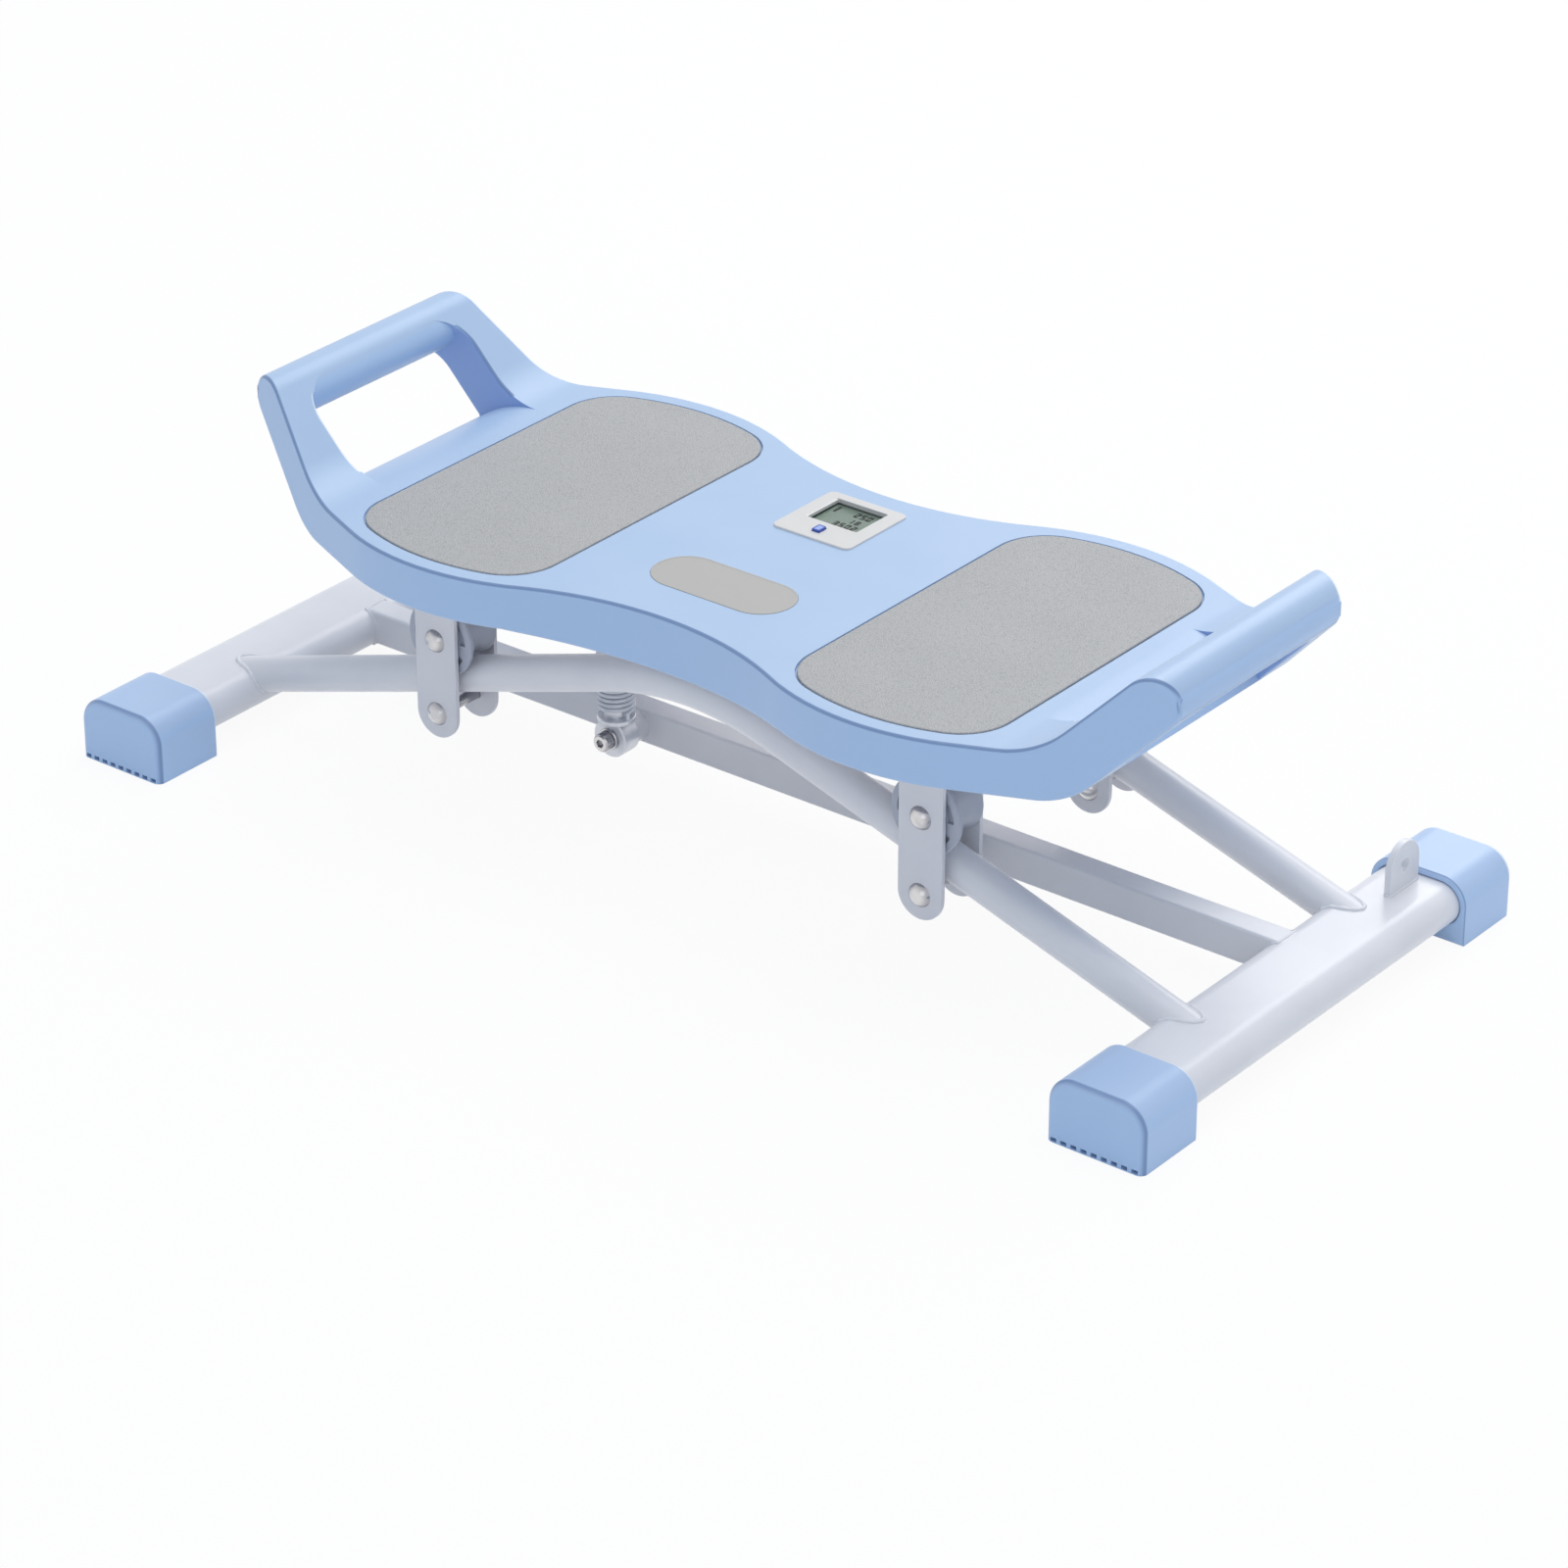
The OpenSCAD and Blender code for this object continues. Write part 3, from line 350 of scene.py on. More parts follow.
    def cut(self, tool: "Form", how: Cut = Cut.TAKE) -> "Form":
        """Combines this form with a tool.

        Args:
            tool: The other closed solid.
            how: What the tool does.

        Returns:
            This form, changed.
        """
        body, other = self._work_object(), tool._work_object()
        modifier = body.modifiers.new("cut", "BOOLEAN")
        modifier.operation = how.value
        modifier.solver = "EXACT"
        modifier.object = other
        graph = bpy.context.evaluated_depsgraph_get()
        mesh = bpy.data.meshes.new_from_object(body.evaluated_get(graph))
        self.bm.clear()
        self.bm.from_mesh(mesh)
        for obj in (body, other):
            data = obj.data
            bpy.data.objects.remove(obj)
            bpy.data.meshes.remove(data)
        bpy.data.meshes.remove(mesh)
        bmesh.ops.remove_doubles(self.bm, verts=self.bm.verts, dist=0.002)
        bmesh.ops.dissolve_degenerate(self.bm, edges=self.bm.edges, dist=0.0005)
        bmesh.ops.dissolve_limit(
            self.bm, angle_limit=math.radians(0.3), use_dissolve_boundaries=False,
            verts=self.bm.verts, edges=self.bm.edges,
        )
        return self

    def eased(self, width: float, segments: int = 2, sharper: float = 40, clamp: bool = True,
              where: Optional[EdgeTest] = None) -> "Form":
        """Bevels the sharp edges.

        Args:
            width: Offset of the bevel.
            segments: Rows of faces across it.
            sharper: Least angle between two faces that counts as sharp, in degrees.
            clamp: Whether the bevel stops before it overlaps itself.
            where: Which edges are taken; every sharp one where it is left out.

        Returns:
            This form, changed.
        """
        limit = math.radians(sharper)
        edges = [e for e in self.bm.edges
                 if len(e.link_faces) == 2 and e.calc_face_angle(0) > limit]
        if where:
            edges = [e for e in edges if where(e)]
        bmesh.ops.bevel(
            self.bm, geom=edges, offset=width, offset_type="OFFSET", segments=segments, profile=0.5,
            affect="EDGES", clamp_overlap=clamp, material=-1, loop_slide=True,
        )
        return self


def tube(points: Sequence[Vector], radius: float, closed: bool, sides: int = 3,
         swell: Callable[[int], float] = lambda i: 1.0) -> Form:
    """A round wire or weld bead along a path.

    Args:
        points: Centre line, in millimetres.
        radius: Radius of the section.
        closed: Whether the path joins up.
        sides: Bevel resolution of the section.
        swell: Factor on the radius at each point.

    Returns:
        The tube as a form.
    """
    curve = bpy.data.curves.new("path", "CURVE")
    curve.dimensions = "3D"
    curve.bevel_depth = radius
    curve.bevel_resolution = sides
    curve.use_fill_caps = not closed
    spline = curve.splines.new("POLY")
    spline.points.add(len(points) - 1)
    for i, (slot, point) in enumerate(zip(spline.points, points)):
        slot.co = (*point, 1.0)
        slot.radius = swell(i)
    spline.use_cyclic_u = closed
    obj = bpy.data.objects.new("path", curve)
    bpy.context.scene.collection.objects.link(obj)
    graph = bpy.context.evaluated_depsgraph_get()
    mesh = bpy.data.meshes.new_from_object(obj.evaluated_get(graph))
    form = Form()
    form.bm.from_mesh(mesh)
    bpy.data.objects.remove(obj)
    bpy.data.curves.remove(curve)
    bpy.data.meshes.remove(mesh)
    return form.tidied(0.001)


class Wire:
    """A node's output, on which Python's operators stand for Math nodes."""

    def __init__(self, board: "Board", socket: bpy.types.NodeSocket) -> None:
        """Keeps the output and the board that its node stands on."""
        self.board = board
        self.socket = socket

    def _math(self, operation: str, other: "Value", flip: bool = False) -> "Wire":
        """One Math node on this value and another, the other one first where flip is set."""
        first, second = (other, self) if flip else (self, other)
        return self.board.take("ShaderNodeMath", {0: first, 1: second}, operation=operation)

    def __add__(self, other: "Value") -> "Wire":
        """Sum."""
        return self._math("ADD", other)

    def __radd__(self, other: "Value") -> "Wire":
        """Sum with a number first."""
        return self._math("ADD", other, True)

    def __sub__(self, other: "Value") -> "Wire":
        """Difference."""
        return self._math("SUBTRACT", other)

    def __rsub__(self, other: "Value") -> "Wire":
        """Difference with a number first."""
        return self._math("SUBTRACT", other, True)

    def __mul__(self, other: "Value") -> "Wire":
        """Product."""
        return self._math("MULTIPLY", other)

    def __rmul__(self, other: "Value") -> "Wire":
        """Product with a number first."""
        return self._math("MULTIPLY", other, True)

    def band(self, low: float, high: float) -> "Wire":
        """Nought below low, one above high, and smooth between them."""
        return self.board.take("ShaderNodeMapRange", {0: self, 1: low, 2: high, 3: 0.0, 4: 1.0},
                               interpolation_type="SMOOTHSTEP")


Value = Union[Wire, float]


class Board:
    """The node tree of a material or a world, with the calls that the finishes use."""

    def __init__(self, owner: Union[bpy.types.Material, bpy.types.World]) -> None:
        """Clears the owner's node tree."""
        owner.use_nodes = True
        self.owner = owner
        self.tree = owner.node_tree
        self.tree.nodes.clear()

    def add(self, kind: str, values: Optional[Values] = None, **settings: object) -> bpy.types.Node:
        """Adds any node.

        Args:
            kind: The node's type.
            values: Numbers, colours or wires for its sockets, by name or number.
            **settings: Its properties, which are set first.

        Returns:
            The node.
        """
        node = self.tree.nodes.new(kind)
        for key, setting in settings.items():
            setattr(node, key, setting)
        for key, value in (values or {}).items():
            if isinstance(value, Wire):
                self.tree.links.new(value.socket, node.inputs[key])
            else:
                node.inputs[key].default_value = value
        return node

    def take(self, kind: str, values: Optional[Values] = None, output: Union[str, int] = 0,
             **settings: object) -> Wire:
        """Adds any node and takes one of its outputs."""
        return Wire(self, self.add(kind, values, **settings).outputs[output])

    def place(self, scale: Sequence[float] = (1, 1, 1), turn: Sequence[float] = (0, 0, 0)) -> Wire:
        """Object coordinates in metres, stretched and turned."""
        where = self.take("ShaderNodeTexCoord", output="Object")
        return self.take("ShaderNodeMapping", {"Vector": where, "Rotation": turn, "Scale": scale})

    def split(self, vector: Wire) -> List[Wire]:
        """The three coordinates of a vector."""
        return [Wire(self, out) for out in self.add("ShaderNodeSeparateXYZ", {0: vector}).outputs]

    def normal(self) -> List[Wire]:
        """The surface's own normal, as three coordinates in object space."""
        return self.split(self.take("ShaderNodeTexCoord", output="Normal"))

    def noise(self, where: Wire, scale: float, detail: float = 2.0, rough: float = 0.5) -> Wire:
        """Soft noise from 0 to 1."""
        return self.take("ShaderNodeTexNoise", {"Vector": where, "Scale": scale,
                                                "Detail": detail, "Roughness": rough})

    def cell_edges(self, where: Wire, scale: float) -> Wire:
        """Distance to the edges of scattered cells."""
        return self.take("ShaderNodeTexVoronoi", {"Vector": where, "Scale": scale},
                         feature="DISTANCE_TO_EDGE")

    def blend(self, amount: Value, first: object, second: object) -> Wire:
        """Mixes two colours."""
        return self.take("ShaderNodeMix", {0: amount, 6: first, 7: second}, 2, data_type="RGBA")

    def relief(self, height: Value, depth: float) -> Wire:
        """A surface relief whose full depth is given in millimetres."""
        return self.take("ShaderNodeBump",
                         {"Strength": 1.0, "Distance": depth * MM, "Height": height})

    def shine(self, kind: str, colour: object, strength: float) -> Wire:
        """A background or an emission."""
        return self.take(kind, {"Color": colour, "Strength": strength})


def tint(colour: Rgb) -> Rgba:
    """Turns a colour of 0 to 255, as a screen shows it, into the shader's linear colour."""
    parts = [c / 255 for c in colour]
    return tuple(p / 12.92 if p < 0.04045 else ((p + 0.055) / 1.055) ** 2.4 for p in parts) + (1.0,)


@dataclass(frozen=True)
class Finish:
    """A surface that any piece can be given: as it stands, a plain moulding.

    Attributes:
        name: Name of the material; slot is the slot that it belongs to.
        tone: Colour on a screen, from 0 to 255; shade is the colour that it drifts to.
        depth: Depth of the surface relief, in millimetres.
    """

    name: str
    slot: str
    tone: Rgb
    shade: Rgb
    roughness: float = 0.4
    metal: float = 0.0
    coat: float = 0.0
    depth: float = 0.02
    coat_rough: float = 0.12

    def make(self) -> bpy.types.Material:
        """The finish as a material; the same one is used wherever its name comes up."""
        known = bpy.data.materials.get(self.name)
        return known or self.compose(Board(bpy.data.materials.new(self.name)))

    def drift(self, board: Board, amount: Value) -> Wire:
        """The tone, drifting to the shade by an amount."""
        return board.blend(amount, tint(self.tone), tint(self.shade))

    def close(self, board: Board, colour: Wire, rough: Wire, height: Wire,
              **more: Value) -> bpy.types.Material:
        """Ends the tree in a Principled shader with the finish's metal, coat and relief.

        Args:
            board: The tree.
            colour: Base colour.
            rough: Roughness.
            height: Relief, which the depth is multiplied with.
            **more: Values for further sockets.

        Returns:
            The finished material.
        """
        values = {"Base Color": colour, "Roughness": rough, "Metallic": self.metal,
                  "Normal": board.relief(height, self.depth), **more}
        if self.coat:
            values.update({"Coat Weight": self.coat, "Coat Roughness": self.coat_rough})
        shader = board.take("ShaderNodeBsdfPrincipled", values)
        board.add("ShaderNodeOutputMaterial", {"Surface": shader})
        return board.owner

    def compose(self, board: Board) -> bpy.types.Material:
        """A moulded surface: slow colour drift, fine spark texture, and a few softer scuffs.

        Args:
            board: The finish's empty tree.

        Returns:
            The finished material.
        """
        drift = board.noise(board.place(), 22, 3)
        spark = board.noise(board.place(), 2600, 2, 0.6)
        scuff = board.noise(board.place((1, 9, 3), (0.3, 0.2, 0.7)), 60, 4).band(0.62, 0.74)
        rough = self.roughness + 0.08 * (spark - 0.5) + 0.1 * scuff
        colour = self.drift(board, drift.band(0.3, 0.75))
        return self.close(board, colour, rough, spark + 0.6 * drift)


@dataclass(frozen=True)
class Moulded(Finish):
    """Gloss moulding, with painted shade on upright faces and front rims and painted highlights on
    rear rims.

    Attributes:
        wall: Painted shade tint that the upright faces lean to: the bluer colour that they show in
            shade.
        rim_tone: Painted shade that the front rims lean to, by the share rim.
        glow_tone: Painted highlight that the rear rims lean to, by the share glow.
        all_round: Whether the painted rim shade and highlight go down the sides too, as on a cap's
            end.
        deep: Share of deep_tone, a painted shade on the front-facing walls of the hand openings.
        mouth: Squared distances from the middle that bound the openings: least along X, most
            along Y, in square metres.
    """

    coat_rough: float = 0.3
    # Painted shade tint of the upright faces.
    wall: Rgb = (180, 208, 243)
    # Painted rim shade and painted rim highlight, with their shares.
    rim: float = 0.7
    rim_tone: Rgb = (88, 120, 170)
    glow: float = 0.8
    glow_tone: Rgb = (240, 247, 255)
    all_round: bool = False
    # Painted shade on the front-facing walls of the hand openings.
    deep: float = 0.0
    deep_tone: Rgb = (112, 144, 212)
    mouth: Tuple[float, float] = (0.278 ** 2, 0.0795 ** 2)

    def compose(self, board: Board) -> bpy.types.Material:
        """Slow drift and spark texture, with painted shade and highlights laid on by the normals,
        and scuffs on top.

        Args:
            board: The finish's empty tree.

        Returns:
            The finished material.
        """
        where = board.place()
        _, rear, up = board.normal()
        front = 0.0 - rear
        # Painted shade: upright faces lean to the bluer wall tint that they show in shade.
        upright = 1.0 - (up * up).band(0.08, 0.4)
        # Painted shade on front-facing rims (dark) and painted highlights on rear-facing rims
        # (pale).
        if self.all_round:
            dark = front.band(0.08, 0.35) * (1.0 - front.band(0.45, 0.99))
            pale = rear.band(0.05, 0.2) * (1.0 - rear.band(0.75, 0.98))
        else:
            dark = front.band(0.08, 0.35) * up.band(0.08, 0.5)
            pale = rear.band(0.02, 0.14) * up.band(0.08, 0.3)
        # Painted shade on the front-facing walls inside the hand openings, which inside marks out.
        x, y, _ = board.split(where)
        far_x, far_y = ((c * c).band(edge, 1.01 * edge) for c, edge in zip((x, y), self.mouth))
        inside = far_x * (1.0 - far_y)
        drift = board.noise(where, 14, 2)
        spark = board.noise(where, 2600, 2, 0.6)
        scuff = board.noise(board.place((1, 9, 3), (0.3, 0.2, 0.7)), 60, 4).band(0.64, 0.78)
        colour = self.drift(board, drift.band(0.3, 0.75))
        # Lays the painted shade and highlights over the moulding's drift.
        for share, tone in ((upright, self.wall),
                            (inside * front.band(0.5, 0.95) * self.deep, self.deep_tone),
                            (dark * self.rim, self.rim_tone),
                            (pale * self.glow, self.glow_tone)):
            colour = board.blend(share, colour, tint(tone))
        rough = self.roughness + 0.06 * (spark - 0.5) + 0.08 * scuff
        return self.close(board, colour, rough, spark + 0.4 * drift)


@dataclass(frozen=True)
class PowderCoat(Finish):
    """Baked powder paint: orange peel, a little dust, and a slightly uneven gloss."""

    coat_rough: float = 0.2

    def compose(self, board: Board) -> bpy.types.Material:
        """Orange peel at about a millimetre, over slow cloudiness.

        Args:
            board: The finish's empty tree.

        Returns:
            The finished material.
        """
        where = board.place()
        peel = board.noise(where, 620, 3, 0.55)
        cloud = board.noise(where, 18, 3)
        dust = board.noise(where, 150, 6, 0.7).band(0.63, 0.8)
        colour = self.drift(board, cloud.band(0.3, 0.75))
        colour = board.blend(dust * 0.25, colour, tint(tuple(0.8 * c for c in self.shade)))
        rough = self.roughness + 0.07 * (peel - 0.5) + 0.15 * dust
        return self.close(board, colour, rough, peel)


@dataclass(frozen=True)
class Plated(Finish):
    """Bright plating or bare metal: hair scratches, smudges and small pits, and a painted
    reflection that darkens faces turned aside.

    Attributes:
        edge: How far a painted reflection darkens faces that turn away from the part's front or
            rear.
        edge_tone: Colour of that painted reflection.
    """

    # Strength and colour of the painted reflection.
    edge: float = 0.0
    edge_tone: Rgb = (92, 96, 112)

    def compose(self, board: Board) -> bpy.types.Material:
        """Scratches run along the part, smudges raise the roughness, and a painted reflection
        darkens domes to the edge.

        Args:
            board: The finish's empty tree.

        Returns:
            The finished material.
        """
        where = board.place()
        smudge = board.noise(where, 90, 4).band(0.42, 0.7)
        hair = board.noise(board.place((6, 90, 90)), 60, 2)
        pits = board.noise(where, 1500, 3)
        # Painted reflection: faces turned from the front or rear darken, like the dark rim of a
        # domed chrome head.
        _, along, _ = board.normal()
        away = 1.0 - (along * along).band(0.35, 0.9)
        colour = board.blend(away * self.edge, self.drift(board, smudge), tint(self.edge_tone))
        rough = self.roughness + 0.12 * smudge + 0.08 * (hair - 0.5)
        return self.close(board, colour, rough, pits + hair)


@dataclass(frozen=True)
class Tread(Finish):
    """Moulded rubber with a fine leather grain."""

    def compose(self, board: Board) -> bpy.types.Material:
        """Irregular cells with dark creases, and a finer pebble inside each.

        Args:
            board: The finish's empty tree.

        Returns:
            The finished material.
        """
        where = board.place()
        jitter = board.noise(where, 340, 2)
        swirl = board.take("ShaderNodeTexNoise", {"Vector": where, "Scale": 260.0}, 1)
        warp = board.take("ShaderNodeVectorMath", {0: swirl, "Scale": 0.0016}, operation="SCALE")
        bent = board.take("ShaderNodeVectorMath", {0: where, 1: warp}, operation="ADD")
        crease = board.cell_edges(bent, 640).band(0.0, 0.22)
        pebble = board.noise(where, 2100, 3, 0.6)
        wear = board.noise(where, 14, 4).band(0.35, 0.75)
        colour = board.blend(crease * 0.8 + 0.2 * pebble, tint(self.shade), tint(self.tone))
        worn = tint(tuple(min(255, 1.05 * c) for c in self.tone))
        colour = board.blend(wear * 0.05, colour, worn)
        rough = self.roughness + 0.12 * (jitter - 0.5) - 0.06 * wear
        return self.close(board, colour, rough, crease + 0.5 * pebble)


@dataclass(frozen=True)
class Screened(Finish):
    """A printed film: satin, with very fine parallel lines."""

    def compose(self, board: Board) -> bpy.types.Material:
        """Hair lines along the piece and a slow drift of tone.

        Args:
            board: The finish's empty tree.

        Returns:
            The finished material.
        """
        lines = board.noise(board.place((2, 150, 20)), 22, 3)
        drift = board.noise(board.place(), 30, 3)
        fleck = board.noise(board.place(), 1800, 2).band(0.55, 0.75)
        rough = self.roughness + 0.1 * (lines - 0.5) + 0.06 * fleck
        return self.close(board, self.drift(board, 0.6 * lines + 0.4 * drift), rough, lines + fleck)


@dataclass(frozen=True)
class Screen(Finish):
    """The grey-green sheet of a liquid crystal display, with its grid of cells.

    Attributes:
        cell: Size of a cell, in metres.
        gap: Width of the lines between cells, in metres.
    """

    cell: float = 0.0012
    gap: float = 0.00006

    def compose(self, board: Board) -> bpy.types.Material:
        """A faint grid and soft clouds.

        Args:
            board: The finish's empty tree.

        Returns:
            The finished material.
        """
        where = board.place()
        grid = board.take("ShaderNodeTexBrick", {
            "Vector": where, "Scale": 1.0, "Brick Width": self.cell, "Row Height": self.cell,
            "Mortar Size": self.gap, "Color1": WHITE, "Color2": WHITE, "Mortar": (0, 0, 0, 1),
        }, 1, offset=0.0)
        cloud = board.noise(where, 60, 3)
        colour = self.drift(board, 0.2 * grid + 0.5 * cloud)
        return self.close(board, colour, self.roughness + 0.1 * (cloud - 0.5), cloud)


@dataclass(frozen=True)
class Circuit(Finish):
    """A circuit board: solder mask with raised tracks."""

    def compose(self, board: Board) -> bpy.types.Material:
        """Tracks in a lighter green, and the weave below.

        Args:
            board: The finish's empty tree.

        Returns:
            The finished material.
        """
        tracks = board.cell_edges(board.place((1, 1, 0.1)), 260).band(0.05, 0.09)
        weave = board.noise(board.place(), 1400, 2)
        colour = board.blend(tracks, tint(self.shade), tint(self.tone))
        rough = self.roughness + 0.1 * (weave - 0.5)
        return self.close(board, colour, rough, 0.3 * weave - tracks)


@dataclass(frozen=True)
class Pane(Finish):
    """A clear pane, see-through apart from its gloss and a few smears."""

    def compose(self, board: Board) -> bpy.types.Material:
        """Smears raise the roughness and the little that the pane hides.

        Args:
            board: The finish's empty tree.

        Returns:
            The finished material.
        """
        smear = board.noise(board.place((1, 3, 1)), 120, 4).band(0.5, 0.75)
        rough = self.roughness + 0.12 * smear
        return self.close(board, self.drift(board, smear), rough, smear, Alpha=0.05 + 0.04 * smear)


# Both mouldings carry painted shade and highlights; deep=0.6 also paints shade into the deck's hand
# openings.
DECK_BLUE = Moulded("deck_plastic", "deck_blue", (180, 203, 232), (176, 200, 230), 0.4,
                    coat=0.05, depth=0.006, deep=0.6)
CAP_BLUE = Moulded("cap_plastic", "cap_blue", (184, 207, 238), (179, 203, 236), 0.38,
                   coat=0.05, depth=0.008, all_round=True)
FRAME_WHITE = PowderCoat("frame_paint", "frame_white", (236, 235, 238), (231, 230, 234), 0.34,
                         coat=0.1, depth=0.02)
BRACKET_GREY = PowderCoat("bracket_paint", "bracket_steel", (231, 229, 233), (225, 224, 229), 0.36,
                          coat=0.1, depth=0.015)
# edge=0.5 paints a darker reflection towards the rims of the chrome domes.
CHROME = Plated("bolt_plating", "chrome", (214, 213, 214), (196, 197, 202), 0.2,
                metal=1.0, depth=0.002, edge=0.5)
ZINC = Plated("eye_plating", "zinc", (222, 224, 230), (206, 209, 217), 0.34,
              metal=0.6, depth=0.004)
SPRING = Plated("spring_wire", "spring_steel", (226, 228, 235), (212, 215, 224), 0.42,
                metal=0.1, depth=0.006)
SLEEVE = Plated("sleeve_steel", "sleeve", (150, 152, 158), (128, 130, 136), 0.35,
                metal=0.9, depth=0.005)
ROLLER_GREY = Finish("roller_plastic", "roller_grey", (184, 188, 199), (174, 179, 192), 0.42,
                     depth=0.012)
PAD_GREY = Tread("tread_rubber", "pad_grey", (191, 190, 189), (160, 159, 158), 0.62, depth=0.06)
BADGE_GREY = Screened("badge_film", "badge", (186, 183, 178), (179, 176, 171), 0.42, depth=0.008)
BEZEL_WHITE = Finish("counter_case", "bezel", (224, 221, 218), (219, 216, 213), 0.4,
                     coat=0.05, depth=0.006)
PANE = Pane("counter_pane", "clear", (120, 128, 124), (104, 112, 108), 0.05, depth=0.001)
SCREEN = Screen("display_sheet", "display", (132, 150, 136), (122, 140, 127), 0.45, depth=0.002)
INK = Finish("display_ink", "display", (8, 10, 10), (6, 8, 8), 0.5, depth=0.001)
BOARD_GREEN = Circuit("board_mask", "board", (38, 92, 52), (70, 124, 78), 0.4, depth=0.02)
BUTTON_BLUE = Finish("button_plastic", "button", (158, 180, 240), (148, 171, 234), 0.35,
                     coat=0.1, depth=0.004)
BUTTON_EDGE = Finish("button_skirt", "button", (58, 86, 182), (50, 76, 170), 0.4, depth=0.004)


def settle(form: Form, name: str, finish: Finish, node: str, stands_for: Sequence[str] = (),
           sharp: float = 50) -> bpy.types.Object:
    """Turns a form into a finished piece.

    Args:
        form: The solid, in millimetres.
        name: Name of the piece.
        finish: Its surface.
        node: CAD node whose body the piece moves with.
        stands_for: CAD nodes that the piece takes the place of.
        sharp: Angle above which an edge stays crisp, in degrees.

    Returns:
        The piece's object.
    """
    bmesh.ops.scale(form.bm, verts=form.bm.verts, vec=(MM, MM, MM))
    mesh = bpy.data.meshes.new(name)
    form.bm.to_mesh(mesh)
    form.bm.free()
    mesh.polygons.foreach_set("use_smooth", [True] * len(mesh.polygons))
    mesh.set_sharp_from_angle(angle=math.radians(sharp))
    obj = bpy.data.objects.new(name, mesh)
    bpy.context.scene.collection.objects.link(obj)
    weigh = obj.modifiers.new("weigh", "WEIGHTED_NORMAL")
    weigh.keep_sharp = True
    weigh.weight = 80
    graph = bpy.context.evaluated_depsgraph_get()
    done = bpy.data.meshes.new_from_object(obj.evaluated_get(graph), preserve_all_data_layers=True,
                                           depsgraph=graph)
    obj.modifiers.clear()
    obj.data = done
    done.name = name
    bpy.data.meshes.remove(mesh)
    done.materials.clear()
    done.materials.append(finish.make())
    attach(obj, frame["nodes"][node]["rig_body"])
    if stands_for:
        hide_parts(*stands_for)
    body = frame["nodes"][node]["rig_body"]
    LOG.info("%s: %d faces, moves with %s", name, len(done.polygons), body)
    return obj


def cover(form: Form, node: str, kind: str, finish: Finish, sharp: float = 50) -> None:
    """Settles a form in the place of one CAD node, whose name and a kind make up its own name."""
    settle(form, f"{node}_{kind}", finish, node, [node], sharp)


def dress(finish: Finish, *nodes: str) -> None:
    """Gives CAD nodes a finish in their material slots.

    Args:
        finish: The surface.
        *nodes: Names of the nodes.
    """
    for name in nodes:
        slots = frame["nodes"][name].data.materials
        slots.clear()
        slots.append(finish.make())
        LOG.info("%s: %s", name, finish.name)


